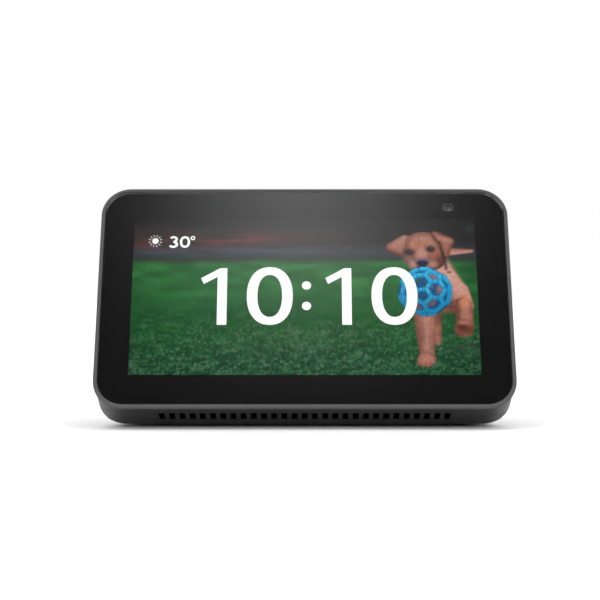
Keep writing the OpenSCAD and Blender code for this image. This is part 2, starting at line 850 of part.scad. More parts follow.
module fabric_cover() {
    color("#3a3c3f") intersection() {
        difference() {
            rear_volume(0);
            rear_volume(fabric_t);
            translate([0, 0, -past]) linear_extrude(plate_z1 + past) plate_outline(fit_gap);
            port_window(-fabric_t / 2);
        }
        behind_band();
    }
}

module base_plate() {
    color("#1e1f20") difference() {
        translate([0, 0, foot_proud]) linear_extrude(plate_t) plate_outline(0);
        translate([0, foot_y, 0]) linear_extrude(foot_proud + foot_recess)
            rounded_rect([foot_w + 0.4, foot_l + 0.4], foot_r + 0.2);
        for (p = concat(box_screws, side_screws)) translate([p.x, p.y, 0]) {
            cylinder(r = base_screw_r + 0.2, h = 5);
            cylinder(r = base_head_r + fit_gap, h = foot_proud + foot_recess);
        }
    }
}

module rubber_foot() {
    color("#101011") difference() {
        translate([0, foot_y, 0]) linear_extrude(foot_proud + foot_recess)
            rounded_rect([foot_w, foot_l], foot_r);
        for (p = concat(box_screws, side_screws))
            translate([p.x, p.y, foot_proud - 0.8]) cylinder(r = base_head_r + fit_gap, h = 5);
    }
}

module base_screws() {
    head_z0 = foot_proud - 0.7;
    head_t = foot_recess + 0.7;
    color("#8b8d90") for (p = concat(box_screws, side_screws)) translate([p.x, p.y, head_z0]) {
        cylinder(r = base_head_r, h = head_t);
        cylinder(r = base_screw_r, h = long_screw_z - 1 - head_z0);
    }
}

module port_bezel() {
    color("#151516") difference() {
        union() {
            translate([port_x, bezel_front, port_z]) rotate([90, 0, 0])
                linear_extrude(bezel_front - bezel_back)
                    rounded_rect(port_win - [fit_gap, fit_gap], 3);
            translate([port_x, bezel_flange_y1, port_z]) rotate([90, 0, 0])
                linear_extrude(bezel_flange_t)
                    rounded_rect(port_win + [2 * bezel_rim, 2 * bezel_rim], 3 + bezel_rim);
        }
        translate([jack_x, bezel_front + past, jack_z]) rotate([90, 0, 0])
            cylinder(r = power_open_r, h = bezel_front - bezel_back + 2 * past);
        translate([usb_x, bezel_front + past, usb_z]) rotate([90, 0, 0])
            linear_extrude(bezel_front - bezel_back + 2 * past)
                rounded_rect([usb_size.x + 1, usb_size.z + 1], 1.2);
    }
}

module port_board() {
    color("#1f5f3a") {
        translate([port_x - 12, port_board_y0, port_board_z1 - port_board_t])
            cube([25, jack_mouth - port_board_y0, port_board_t]);
        translate([cable_x - 3, port_board_y0 + 1, port_board_z1]) cube([6, 4, 2]);
    }
}

module power_jack() {
    color("#1b1b1c") difference() {
        translate([jack_x - jack_body.x / 2, jack_mouth - jack_body.y, port_board_z1]) cube(jack_body);
        translate([jack_x, jack_mouth + past, jack_z]) rotate([90, 0, 0])
            cylinder(r = jack_r, h = jack_body.y - 1 + past);
    }
}

module power_jack_pin() {
    color("#c8cacc") translate([jack_x, jack_mouth - pin_back, jack_z]) rotate([90, 0, 0])
        cylinder(r = jack_pin_r, h = jack_body.y - 1 - pin_back);
}

module usb_port() {
    color("#b5b8bb") difference() {
        translate([usb_x, jack_mouth, usb_z]) rotate([90, 0, 0]) linear_extrude(usb_size.y)
            rounded_rect([usb_size.x, usb_size.z], 0.9);
        translate([usb_x, jack_mouth + past, usb_z]) rotate([90, 0, 0])
            linear_extrude(usb_size.y - 0.6 + past)
                rounded_rect([usb_size.x - 2 * usb_wall, usb_size.z - 2 * usb_wall], 0.6);
    }
}

// A round lead from the port board up to the main board's connector.
module port_cable() {
    low = [port_board_y0 + 3, port_board_z1 + 2.8];
    u = board_u0 + 4.5;
    w = board_w2 + 3.3;
    high = [face_y0 + u * st + w * ct, slope_z(u, w)];
    run = high - low;
    color("#1a1a1b") translate([cable_x, low.x, low.y]) rotate([-atan2(run.x, run.y), 0, 0])
        cylinder(r = cable_r, h = norm(run) - 1);
}

// Side view of the speaker box, moved in by inset: its front follows the screen's slope.
module box_side(inset) {
    slope = st / ct;
    z0 = box_z0 + inset;
    z1 = box_z1 - inset;
    front = face_y0 + (box_front_w + inset) / ct - face_z0 * slope;
    polygon([[front + z0 * slope, z0], [box_y1 - inset, z0], [box_y1 - inset, z1], [front + z1 * slope, z1]]);
}

module box_solid(inset) {
    half = box_w / 2 - inset;
    translate([spk_x - half, 0, 0]) rotate([90, 0, 90]) linear_extrude(2 * half) box_side(inset);
}

module speaker_box() {
    color("#202122") difference() {
        union() {
            difference() {
                box_solid(0);
                box_solid(box_wall);
            }
            for (p = box_screws) translate([p.x, p.y, box_z0]) cylinder(r = base_boss_r - 0.4, h = 5);
        }
        translate([spk_x, spk_y, box_z0 - past]) cylinder(r = box_hole_r, h = box_wall + 2 * past);
        for (p = box_screws)
            translate([p.x, p.y, box_z0 - past]) cylinder(r = base_screw_r + screw_gap, h = 4 + past);
        driver_corners(box_z0 - past) cylinder(r = screw_r + screw_gap, h = box_wall - 0.3 + past);
    }
}

module driver_corners(z) {
    for (sx = [-1, 1], sy = [-1, 1])
        translate([spk_x + sx * driver_screw, spk_y + sy * driver_screw, z]) children();
}

module speaker_gasket() {
    color("#161617") difference() {
        translate([spk_x, spk_y, flange_z1]) linear_extrude(gasket_t)
            rounded_rect([driver_size, driver_size], 4);
        translate([spk_x, spk_y, 0]) cylinder(r = box_hole_r, h = box_z0 + past);
        driver_corners(0) cylinder(r = screw_r + 0.25, h = box_z0 + past);
    }
}

// Basket: a square flange, then a windowed cone up to the ring under the magnet.
module speaker_frame() {
    skin = 1;
    color("#77797c") difference() {
        union() {
            translate([spk_x, spk_y, flange_z0]) linear_extrude(flange_z1 - flange_z0)
                rounded_rect([driver_size, driver_size], 4);
            translate([spk_x, spk_y, 0]) rotate_extrude() polygon([
                [basket_r - skin, flange_z0 + 0.6], [basket_r, flange_z0 + 0.6], [neck_r + skin, plate_z],
                [gap_r + 1, plate_z], [gap_r + 1, plate_z - 1], [neck_r, plate_z - 1]]);
            translate([spk_x, spk_y, spider_z]) difference() {
                cylinder(r = neck_r + 1.4, h = 0.8);
                translate([0, 0, -past]) cylinder(r = neck_r - 1.6, h = 3);
            }
        }
        translate([spk_x, spk_y, 0]) {
            cylinder(r = basket_r - skin - 0.2, h = flange_z0 + 1.6);
            cylinder(r = basket_r + 1.4, h = flange_z0 + 0.6);
            for (i = [0:5]) rotate([0, 0, 60 * i + 30])
                translate([neck_r + 3, 0, flange_z1 + 3.2]) cube([8, 8, 3.4], center = true);
        }
        driver_corners(0) cylinder(r = screw_r + 0.25, h = box_z0);
    }
}

module speaker_screws() {
    color("#8b8d90") driver_corners(flange_z0) {
        cylinder(r = screw_r, h = 3);
        translate([0, 0, -screw_head_t]) cylinder(r = screw_head_r, h = screw_head_t);
    }
}

// Half-roll rubber ring between the cone and the basket, rolled downwards.
module speaker_surround() {
    skin = 0.4;
    outer = basket_r + 1.2;
    color("#131314") translate([spk_x, spk_y, cone_z]) rotate_extrude() {
        difference() {
            translate([roll_at, 0]) circle(roll_r);
            translate([roll_at, 0]) circle(roll_r - skin);
            translate([roll_at - 2, 0]) square([4, 4]);
        }
        translate([cone_r - 1, 0]) square([1 + skin, skin]);
        translate([roll_at + roll_r - skin, 0]) square([outer - roll_at - roll_r + skin, skin]);
    }
}

module speaker_cone() {
    rim = 0.9;
    z0 = cone_z + cone_t;
    color("#2a2522") translate([spk_x, spk_y, 0]) rotate_extrude() polygon([
        [cone_r - rim, z0], [cone_r - 0.1, z0], [cone_r - 0.1, z0 + cone_t],
        [cone_r - rim, z0 + cone_t], [coil_r + former_t, former_z0 + cone_t],
        [coil_r + former_t, former_z0 - 0.1]]);
}

module dust_cap() {
    rise = 1.6;
    cap_r = coil_r + 0.1;
    ball_r = (cap_r * cap_r + rise * rise) / (2 * rise);
    color("#1c1a19") translate([spk_x, spk_y, former_z0]) rotate_extrude() intersection() {
        difference() {
            translate([0, ball_r - rise]) circle(ball_r);
            translate([0, ball_r - rise]) circle(ball_r - cone_t);
        }
        translate([0, -2 * rise]) square([cap_r, 2 * rise]);
    }
}

module voice_coil() {
    color("#b5713a") translate([spk_x, spk_y, 0]) {
        difference() {
            translate([0, 0, former_z0]) cylinder(r = coil_r + former_t, h = 8.4);
            cylinder(r = coil_r, h = 30);
        }
        difference() {
            translate([0, 0, plate_z - 1.4]) cylinder(r = coil_r + 0.6, h = 4.8);
            cylinder(r = coil_r + former_t, h = 30);
        }
    }
}

// Corrugated cloth disc that centres the coil.
module spider() {
    waves = 3;
    wave = (neck_r - coil_r - 2.1) / waves;
    color("#c7a24b") translate([spk_x, spk_y, spider_z - 0.3]) rotate_extrude() {
        translate([coil_r + former_t + 0.05, 0]) square([0.6, 0.3]);
        for (i = [0:waves - 1]) {
            x = coil_r + 0.8 + i * wave;
            translate([x, 0]) square([wave / 2, 0.3]);
            translate([x + wave / 2 - 0.15, -0.5]) square([wave / 2 + 0.15, 0.3]);
            for (dx = [wave / 2 - 0.15, wave - 0.15]) translate([x + dx, -0.5]) square([0.3, 0.8]);
        }
        translate([coil_r + 0.8 + waves * wave - 0.15, 0]) square([1.9, 0.3]);
    }
}

module top_plate() {
    color("#9c9ea1") translate([spk_x, spk_y, plate_z]) difference() {
        cylinder(r = magnet_r - 0.5, h = top_plate_t);
        translate([0, 0, -past]) cylinder(r = gap_r, h = top_plate_t + 2 * past);
    }
}

module magnet() {
    color("#3a3a3c") translate([spk_x, spk_y, plate_z + top_plate_t]) difference() {
        cylinder(r = magnet_r, h = magnet_t);
        translate([0, 0, -past]) cylinder(r = gap_r + 1.6, h = magnet_t + 2 * past);
    }
}

module yoke() {
    z = plate_z + top_plate_t + magnet_t;
    color("#9c9ea1") translate([spk_x, spk_y, 0]) {
        translate([0, 0, z]) cylinder(r = magnet_r - 0.4, h = yoke_t);
        translate([0, 0, plate_z]) cylinder(r = pole_r, h = z - plate_z + 0.5);
    }
}

module speaker_leads() {
    w = board_w2 + 1.4;
    u1 = board_u0 + 3;
    u0 = (box_z1 - face_z0 + w * st) / ct + 0.5;
    color("#a02c26") on_face() for (dx = [-1, 1])
        up_slope(spk_x + 6 + dx, u0, w) cylinder(r = 0.6, h = u1 - u0);
}

front_frame();
cover_glass();
ink_mask();
glass_adhesive();
optical_adhesive();
lcd_panel();
backlight();
display_tray();
mid_frame();
display_flex();
camera_module();
camera_lens();
camera_board();
camera_flex();
shutter_slider();
shutter_blade();
shutter_guide();
volume_down_button();
volume_up_button();
mic_button();
button_board();
dome_switches();
microphones();
mic_seals();
button_flex();
main_board();
processor();
shield_can();
thermal_pad();
heat_spreader();
board_connectors();
wifi_antennas();
frame_screws();
board_screws();
rear_shell();
fabric_cover();
base_plate();
rubber_foot();
base_screws();
port_bezel();
port_board();
power_jack();
power_jack_pin();
usb_port();
port_cable();
speaker_box();
speaker_gasket();
speaker_frame();
speaker_screws();
speaker_surround();
speaker_cone();
dust_cap();
voice_coil();
spider();
top_plate();
magnet();
yoke();
speaker_leads();
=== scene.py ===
import math

import bmesh
import bpy
import numpy as np
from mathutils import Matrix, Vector


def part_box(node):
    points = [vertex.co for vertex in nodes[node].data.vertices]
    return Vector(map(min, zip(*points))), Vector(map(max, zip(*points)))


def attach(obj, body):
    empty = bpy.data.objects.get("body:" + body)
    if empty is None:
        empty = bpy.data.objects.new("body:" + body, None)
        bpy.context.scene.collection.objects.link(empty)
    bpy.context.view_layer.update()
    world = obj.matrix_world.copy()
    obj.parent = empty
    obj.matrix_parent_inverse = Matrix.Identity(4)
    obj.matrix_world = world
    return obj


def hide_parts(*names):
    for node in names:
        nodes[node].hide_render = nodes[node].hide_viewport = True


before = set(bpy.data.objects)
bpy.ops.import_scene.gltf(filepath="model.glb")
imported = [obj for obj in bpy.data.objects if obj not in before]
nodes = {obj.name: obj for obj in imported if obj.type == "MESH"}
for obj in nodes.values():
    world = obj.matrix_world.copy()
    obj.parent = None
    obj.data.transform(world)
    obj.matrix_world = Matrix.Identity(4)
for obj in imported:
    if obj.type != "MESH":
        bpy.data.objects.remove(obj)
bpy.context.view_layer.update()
scene = bpy.context.scene

# ---------------------------------------------------------------- the face's frame
# Everything on the front is laid out on the sloping face: x across, u up the slope and w into the
# body, in millimetres. The cover glass says where the face's lower edge is.
mm = 0.001
lean = math.radians(25.5)
up_face = Vector((0, math.sin(lean), math.cos(lean)))
into_face = Vector((0, math.cos(lean), -math.sin(lean)))
glass_edge, glass_front, glass_back = 1.52, 0.2, 1.3
glass_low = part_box("cover_glass")[0]
face_foot = Vector((
    0,
    glass_low.y - (glass_edge * up_face.y + glass_front * into_face.y) * mm,
    glass_low.z - (glass_edge * up_face.z + glass_back * into_face.z) * mm,
))


def on_face(x, u, w):
    """The point at x, u and w, in metres."""
    return face_foot + (Vector((x, 0, 0)) + up_face * u + into_face * w) * mm


# ---------------------------------------------------------------- studio
# A white sweep under a big soft dome, with one dark card above the camera. The card keeps the
# glass black, and a soft lamp in front of it leaves the pale bloom on the top of the border.
card_height = math.radians(51)
card_middle = Vector((0, -math.cos(card_height), math.sin(card_height)))
lamp_height = math.radians(55)
lamp_middle = Vector((0, -math.cos(lamp_height), math.sin(lamp_height)))
card_edge, card_core = math.cos(math.radians(24)), math.cos(math.radians(13))
card_dark = 0.019
lamp_narrow = 430
lamp_bright = 1.32
dome_side, dome_top = 1.0, 1.5
front_glow, flank_dim = 1.5, 0.45

world = bpy.data.worlds.new("studio_dome")
scene.world = world
world.use_nodes = True
sky_tree = world.node_tree
sky = sky_tree.nodes["Background"]
sky.inputs["Color"].default_value = (1, 1, 1, 1)
look = sky_tree.nodes.new("ShaderNodeTexCoord").outputs["Generated"]


def sums(tree, kind, a, b=None, c=None):
    """One sum on up to three values or sockets of a node tree."""
    made = tree.nodes.new("ShaderNodeMath")
    made.operation = kind
    for place, value in enumerate(v for v in (a, b, c) if v is not None):
        if isinstance(value, bpy.types.NodeSocket):
            tree.links.new(value, made.inputs[place])
        else:
            made.inputs[place].default_value = value
    return made.outputs[0]


def eased(tree, value, low, high, out_low=0.0, out_high=1.0):
    """A value carried smoothly from one range to another."""
    made = tree.nodes.new("ShaderNodeMapRange")
    made.interpolation_type = "SMOOTHSTEP"
    tree.links.new(value, made.inputs["Value"])
    for name, number in (("From Min", low), ("From Max", high), ("To Min", out_low), ("To Max", out_high)):
        made.inputs[name].default_value = number
    return made.outputs["Result"]


def towards(direction):
    """How nearly the view points in a direction, as a cosine."""
    made = sky_tree.nodes.new("ShaderNodeVectorMath")
    made.operation = "DOT_PRODUCT"
    sky_tree.links.new(look, made.inputs[0])
    made.inputs[1].default_value = direction
    return made.outputs["Value"]


glow_middle = (0, -0.94, 0.34)
ahead = eased(sky_tree, towards(glow_middle), 0.5, 0.95, 1.0, 1.0 + front_glow)
sideways = sums(sky_tree, "ABSOLUTE", towards((1, 0, 0)))
flank = eased(sky_tree, sideways, 0.45, 0.9, 1.0, flank_dim)
dome = eased(sky_tree, towards((0, 0, 1)), 0.05, 0.7, dome_side, dome_top)
dome = sums(sky_tree, "MULTIPLY", dome, sums(sky_tree, "MULTIPLY", ahead, flank))
card = eased(sky_tree, towards(card_middle), card_edge, card_core, 1.0, card_dark)
facing_lamp = sums(sky_tree, "MAXIMUM", towards(lamp_middle), 0.0)
lamp = sums(sky_tree, "POWER", facing_lamp, lamp_narrow)
carded_dome = sums(sky_tree, "MULTIPLY", dome, card)
sky_strength = sums(sky_tree, "MULTIPLY_ADD", lamp, lamp_bright, carded_dome)
sky_tree.links.new(sky_strength, sky.inputs["Strength"])

camera_spot = Vector((-1.66, -621.4, 37.35))
camera_data = bpy.data.cameras.new("camera")
camera = bpy.data.objects.new("camera", camera_data)
scene.collection.objects.link(camera)
camera.location = face_foot + camera_spot * mm
camera.rotation_euler = (math.radians(90), 0, 0)
camera_data.lens = 107.76
camera_data.sensor_width = 36
camera_data.clip_start = 0.01
camera_data.clip_end = 100
scene.camera = camera
scene.view_settings.view_transform = "Standard"


def surface(name, roughness=0.5, metallic=0.0):
    """A new material and its Principled shader."""
    made = bpy.data.materials.new(name)
    made.use_nodes = True
    shader = made.node_tree.nodes["Principled BSDF"]
    shader.inputs["Roughness"].default_value = roughness
    shader.inputs["Metallic"].default_value = metallic
    return made, shader


def speckle(made, size, detail=3.0, stretch=(1, 1, 1)):
    """Noise in the object's own space, with grains of that size in millimetres."""
    tree = made.node_tree
    place = tree.nodes.new("ShaderNodeTexCoord")
    scale = tree.nodes.new("ShaderNodeMapping")
    scale.inputs["Scale"].default_value = stretch
    noise = tree.nodes.new("ShaderNodeTexNoise")
    noise.inputs["Scale"].default_value = 1 / (size * mm)
    noise.inputs["Detail"].default_value = detail
    tree.links.new(place.outputs["Object"], scale.inputs["Vector"])
    tree.links.new(scale.outputs["Vector"], noise.inputs["Vector"])
    return noise.outputs["Fac"]


def two_tone(made, shader, fac, low, high, socket="Base Color"):
    """Colour that wanders between two tones with a value."""
    mix = made.node_tree.nodes.new("ShaderNodeMix")
    mix.data_type = "RGBA"
    made.node_tree.links.new(eased(made.node_tree, fac, 0.3, 0.7), mix.inputs["Factor"])
    mix.inputs[6].default_value = (*low, 1)
    mix.inputs[7].default_value = (*high, 1)
    made.node_tree.links.new(mix.outputs[2], shader.inputs[socket])


def new_piece(name, points, faces, finish, body="root"):
    """A mesh piece that rides on a body."""
    mesh = bpy.data.meshes.new(name)
    mesh.from_pydata([tuple(p) for p in points], [], faces)
    mesh.materials.append(finish)
    piece = bpy.data.objects.new(name, mesh)
    scene.collection.objects.link(piece)
    if body:
        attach(piece, body)
    return piece


floor_half = 30
floor_finish, floor_shader = surface("white_sweep", 0.75)
two_tone(floor_finish, floor_shader, speckle(floor_finish, 60), (0.90, 0.90, 0.90), (0.93, 0.93, 0.93))
floor = new_piece(
    "floor",
    [(x * floor_half, y * floor_half, 0) for x, y in ((-1, -1), (1, -1), (1, 1), (-1, 1))],
    [(0, 1, 2, 3)],
    floor_finish,
    body=None,
)

# ---------------------------------------------------------------- front frame
# One moulding of charcoal plastic: a raised lip round the glass, a band behind it, and the row of
# sound slots through the chin. It has a fine spark-eroded grain and a satin gloss.
def dented(made, shader, height, depth):
    """Bumps of that depth in millimetres, from a height between 0 and 1."""
    bump = made.node_tree.nodes.new("ShaderNodeBump")
    bump.inputs["Distance"].default_value = depth * mm
    made.node_tree.links.new(height, bump.inputs["Height"])
    made.node_tree.links.new(bump.outputs["Normal"], shader.inputs["Normal"])


def tinted(colour, share):
    """A colour made lighter or darker."""
    return tuple(c * share for c in colour)


def grained(name, colour, roughness, size, depth, spread=0.12, metallic=0.0, stretch=(1, 1, 1)):
    """A finish whose colour, gloss and surface all wander at the grain's size, in millimetres."""
    made, shader = surface(name, roughness, metallic)
    grain = speckle(made, size, stretch=stretch)
    cloud = speckle(made, size * 40)
    two_tone(made, shader, cloud, tinted(colour, 1 - spread), tinted(colour, 1 + spread))
    rough = eased(made.node_tree, cloud, 0.25, 0.75, roughness - 0.05, roughness + 0.05)
    made.node_tree.links.new(rough, shader.inputs["Roughness"])
    dented(made, shader, grain, depth)
    return made


def give(finish, *names):
    """Puts a finish on whole CAD nodes."""
    for name in names:
        slots = nodes[name].material_slots
        for place in range(len(slots)):
            slots[place].material = finish


charcoal = (0.0062, 0.0063, 0.0066)
frame_finish = grained("charcoal_plastic", charcoal, 0.36, 0.16, 0.010, spread=0.05)
give(frame_finish, "front_frame")
frame_tree = frame_finish.node_tree
frame_place = frame_tree.nodes.new("ShaderNodeTexCoord").outputs["Object"]


def along(direction):
    """How far a point of the frame lies from the face's foot in a direction, in millimetres."""
    made = frame_tree.nodes.new("ShaderNodeVectorMath")
    made.operation = "DOT_PRODUCT"
    frame_tree.links.new(frame_place, made.inputs[0])
    made.inputs[1].default_value = Vector(direction) / mm
    return sums(frame_tree, "SUBTRACT", made.outputs["Value"], Vector(direction).dot(face_foot) / mm)


# The lip is painted a little paler than the band behind it, a painted highlight for the light its rounded
# edge catches.
lip_highlight_tone = (0.056, 0.056, 0.058)
frame_shader = frame_tree.nodes["Principled BSDF"]
frame_shader.inputs["Specular IOR Level"].default_value = 0.3
band_tone = frame_shader.inputs["Base Color"].links[0].from_socket
lip_highlight_mix = frame_tree.nodes.new("ShaderNodeMix")
lip_highlight_mix.data_type = "RGBA"
frame_tree.links.new(eased(frame_tree, along(into_face), 0.5, 1.5), lip_highlight_mix.inputs["Factor"])
lip_highlight_mix.inputs[6].default_value = (*lip_highlight_tone, 1)
frame_tree.links.new(band_tone, lip_highlight_mix.inputs[7])
frame_tree.links.new(lip_highlight_mix.outputs[2], frame_shader.inputs["Base Color"])

# Painted shade: the slots and the space behind them are coloured near-black for the shade that lies inside
# them.
slot_shade_half, slot_shade_low, slot_shade_high, slot_shade_front = 52, 0.45, 9, 1.9
slot_shade_black = (0.0015, 0.0015, 0.0015)
from_middle = sums(frame_tree, "ABSOLUTE", along((1, 0, 0)))
slot_shaded = eased(frame_tree, along(up_face), slot_shade_low, slot_shade_low + 0.25)
for limit in (
    eased(frame_tree, along(into_face), slot_shade_front, slot_shade_front + 0.4),
    eased(frame_tree, from_middle, slot_shade_half, slot_shade_half + 0.5, 1, 0),
    eased(frame_tree, along(up_face), slot_shade_high - 1, slot_shade_high, 1, 0),
):
    slot_shaded = sums(frame_tree, "MULTIPLY", slot_shaded, limit)
slot_shade_mix = frame_tree.nodes.new("ShaderNodeMixShader")
slot_shade_bsdf = frame_tree.nodes.new("ShaderNodeBsdfDiffuse")
slot_shade_bsdf.inputs["Color"].default_value = (*slot_shade_black, 1)
frame_tree.links.new(slot_shaded, slot_shade_mix.inputs["Fac"])
frame_tree.links.new(frame_shader.outputs["BSDF"], slot_shade_mix.inputs[1])
frame_tree.links.new(slot_shade_bsdf.outputs["BSDF"], slot_shade_mix.inputs[2])
frame_tree.links.new(slot_shade_mix.outputs["Shader"], frame_tree.nodes["Material Output"].inputs["Surface"])

# ---------------------------------------------------------------- cover glass
# A flat sheet of strengthened glass let into the frame, flush but for a hair. It is clear and
# polished, with the faintest uneven tint in its hard coat.
glass_finish, glass_shader = surface("cover_glass", 0.0)
glass_shader.inputs["Transmission Weight"].default_value = 1.0
glass_shader.inputs["IOR"].default_value = 1.5
two_tone(glass_finish, glass_shader, speckle(glass_finish, 9), (0.975, 0.98, 0.98), (1, 1, 1))
give(glass_finish, "cover_glass")

# ---------------------------------------------------------------- printed border
# Black ink screen-printed on the back of the glass, open over the picture and the camera. It is
# matt, and all the gloss in front of it is the glass.
ink_finish = grained("black_ink", (0.0035, 0.0035, 0.0037), 0.5, 0.05, 0.002, spread=0.2)
ink_finish.node_tree.nodes["Principled BSDF"].inputs["Specular IOR Level"].default_value = 0.0
give(ink_finish, "ink_mask")

# ---------------------------------------------------------------- lit picture
# What the panel shows: a lawn out of focus, with the grass sharp in front, and a brown puppy that
# walks in with a blue lattice ball. It is painted on a fine net of points behind the glass.
picture_half, picture_low, picture_high = 61.8, 12.8, 74.6
picture_w = 1.385  # how far it lies behind the face's front
net = 0.4  # from one point of the net to the next
columns = int(2 * picture_half / net)
rows = int((picture_high - picture_low) / net)
X, U = np.meshgrid(
    np.linspace(-picture_half, picture_half, columns + 1),
    np.linspace(picture_low, picture_high, rows + 1),
)
picture = np.zeros(X.shape + (3,))


def light(*colour):
    """Screen colour from 0 to 255 as linear light."""
    c = np.asarray(colour, float) / 255
    return np.where(c <= 0.04045, c / 12.92, ((c + 0.055) / 1.055) ** 2.4)


def drift(size_x, size_u, seed):
    """Smooth random values from -1 to 1, with features of that size in millimetres."""
    knots = np.random.default_rng(seed).uniform(-1, 1, (97, 97))
    a, b = X / size_x + 970, U / size_u + 970
    i, j = np.floor(a).astype(int), np.floor(b).astype(int)
    s, t = a - i, b - j
    s, t = s * s * (3 - 2 * s), t * t * (3 - 2 * t)
    low = knots[i % 97, j % 97] * (1 - s) + knots[(i + 1) % 97, j % 97] * s
    high = knots[i % 97, (j + 1) % 97] * (1 - s) + knots[(i + 1) % 97, (j + 1) % 97] * s
    return low * (1 - t) + high * t


def ease(value, low, high):
    """0 below low, 1 above high, and smooth between them."""
    t = np.clip((value - low) / (high - low), 0, 1)
    return t * t * (3 - 2 * t)


def lay(colour, cover):
    """Paints a colour over the picture, as thick as cover says."""
    cover = np.clip(cover, 0, 1)[..., None]
    picture[:] = picture * (1 - cover) + np.asarray(colour) * cover


def within(distance, soft=0.35):
    """Full cover inside a shape, fading over its edge."""
    return np.clip(0.5 - distance / soft, 0, 1)


def oval(x, u, half_x, half_u, turn=0.0):
    """Distance outside an oval, in millimetres."""
    c, s = math.cos(math.radians(turn)), math.sin(math.radians(turn))
    a, b = (X - x) * c + (U - u) * s, (U - u) * c - (X - x) * s
    return (np.hypot(a / half_x, b / half_u) - 1) * min(half_x, half_u)


def limb(a, b, ra, rb):
    """Distance outside a tapering limb from a to b, and how far across it a point is, from -1 to 1."""
    dx, du = b[0] - a[0], b[1] - a[1]
    along = np.clip(((X - a[0]) * dx + (U - a[1]) * du) / (dx * dx + du * du), 0, 1)
    radius = ra + (rb - ra) * along
    off_x, off_u = X - a[0] - along * dx, U - a[1] - along * du
    across = (off_x * du - off_u * dx) / math.hypot(dx, du)
    return np.hypot(off_x, off_u) - radius, across / radius


def flap(corners, round_by):
    """Distance outside a three-cornered flap whose corners are rounded."""
    inside, edge = np.full(X.shape, True), np.full(X.shape, 1e9)
    for k in range(3):
        (ax, au), (bx, bu) = corners[k], corners[(k + 1) % 3]
        dx, du = bx - ax, bu - au
        part = np.clip(((X - ax) * dx + (U - au) * du) / (dx * dx + du * du), 0, 1)
        edge = np.minimum(edge, np.hypot(X - ax - part * dx, U - au - part * du))
        inside &= (X - ax) * du - (U - au) * dx <= 0
    return np.where(inside, -edge, edge) - round_by


# The backdrop: a dim hedge, a strip of haze, and the lawn.
lawn_edge, sharp_from = 57.4, 42.0
lay(light(24, 24, 26), np.ones(X.shape))
lay(light(50, 44, 44), ease(74.0 - U, 0, 6) * 0.9)
streak = np.clip(0.45 + 0.5 * drift(8, 1.4, 1) + 0.35 * drift(3.5, 0.8, 20), 0, 1)
red_band = np.exp(-(((U - 67.0 - 0.05 * X) / 2.2) ** 2)) * ease(16 - X, 0, 40)
lay(light(112, 58, 56), red_band * streak * 0.9)
lay(light(28, 28, 31), ease(X, 8, 30) * ease(U, 60, 65) * 0.7)
lay(light(72, 72, 84), np.exp(-(((U - 61.4) / 2.1) ** 2)) * np.clip(0.62 + 0.4 * drift(9, 1.1, 2), 0, 1))
pale_haze = np.exp(-(((U - 60.4) / 1.2) ** 2)) * np.clip(0.25 + 0.6 * drift(6, 0.9, 21), 0, 1)
lay(light(70, 86, 88), pale_haze * 0.6)
lay(light(44, 66, 58), np.exp(-(((U - 58.6) / 1.6) ** 2)) * 0.65)
lawn = ease(lawn_edge + 0.9 + 0.5 * drift(14, 9, 14) - U, 0, 3.0)
lay(light(30, 96, 44), lawn)
lay(light(62, 140, 74), lawn * ease(U, 38, 52) * np.clip(0.2 + 0.55 * drift(9, 2.6, 3), 0, 1))
lay(light(16, 76, 32), lawn * np.clip(0.05 + 0.8 * drift(7, 2.0, 4), 0, 1) * 0.6)
front_grass = ease(sharp_from + 3.0 * drift(6, 3, 5) - U, 0, 8)
lay(light(18, 80, 38), front_grass * 0.8)
lay(light(22, 66, 44), front_grass * ease(30 - U, 0, 14) * 0.7)
near_side = 0.55 + 0.45 * ease(40 - U, 0, 20)
blade = (drift(0.42, 0.7, 6) * 0.5 + drift(0.8, 1.0, 7) * 0.4 + drift(3.2, 1.0, 15) * 0.5) * near_side
lay(light(74, 128, 84), front_grass * np.clip(blade, 0, 1) * 0.7)
lay(light(4, 36, 18), front_grass * np.clip(-blade, 0, 1) * 0.75)
tuft = ease(drift(5.0, 2.2, 16) * 0.6 + drift(1.6, 1.2, 17) * 0.5, 0.0, 0.6)
lay(light(0, 88, 22), front_grass * tuft * ease(U, 18, 34) * 0.75)
worn = np.exp(-(((X + 4) / 26) ** 2 + ((U - 26 - 0.05 * X) / 5.0) ** 2))
lay(light(96, 104, 86), worn * np.clip(drift(1.3, 0.6, 8) + 0.6 * drift(0.6, 0.45, 18), 0, 1) * 0.45)
straw = ease(drift(0.5, 0.8, 22) + drift(0.9, 0.45, 24) + 0.4 * drift(3, 1.6, 23), 0.5, 1.3)
lay(light(96, 124, 104), front_grass * straw * ease(36 - U, 0, 8) * 0.6)
bare = np.exp(-(((X - 57) / 6.5) ** 2 + ((U - 23.2) / 1.7) ** 2))
lay(light(72, 70, 76), bare * np.clip(0.5 + 0.6 * drift(1.2, 0.5, 9), 0, 1) * 0.85)
fall_off = 1 - 0.2 * ease(np.abs(X), 44, 62)
picture *= fall_off[..., None]
lay(light(52, 68, 60), within(oval(60.2, 70.4, 1.7, 1.7), 1.6) * 0.4)

# The puppy. Coat and shade are one colour each, and the light comes from above.
coat, coat_lit, coat_shade = light(144, 90, 74), light(212, 158, 142), light(74, 40, 32)
hair = 1 + 0.10 * drift(0.45, 0.9, 11) + 0.09 * drift(2.4, 1.7, 12) + 0.06 * drift(0.8, 0.4, 19)


def fur(shade):
    """The coat's colour for a shade from -1, in the dark, to 1, in full light."""
    lit = np.clip(shade, 0, 1)[..., None]
    dark = np.clip(-shade, 0, 1)[..., None]
    return (coat * (1 - lit - dark) + coat_lit * lit + coat_shade * dark) * hair[..., None]


def rounded(distance, depth):
    """Shade of a rounded form: lit inside and dark along its edge."""
    return ease(-distance, -0.3, depth) * 1.1 - 0.8


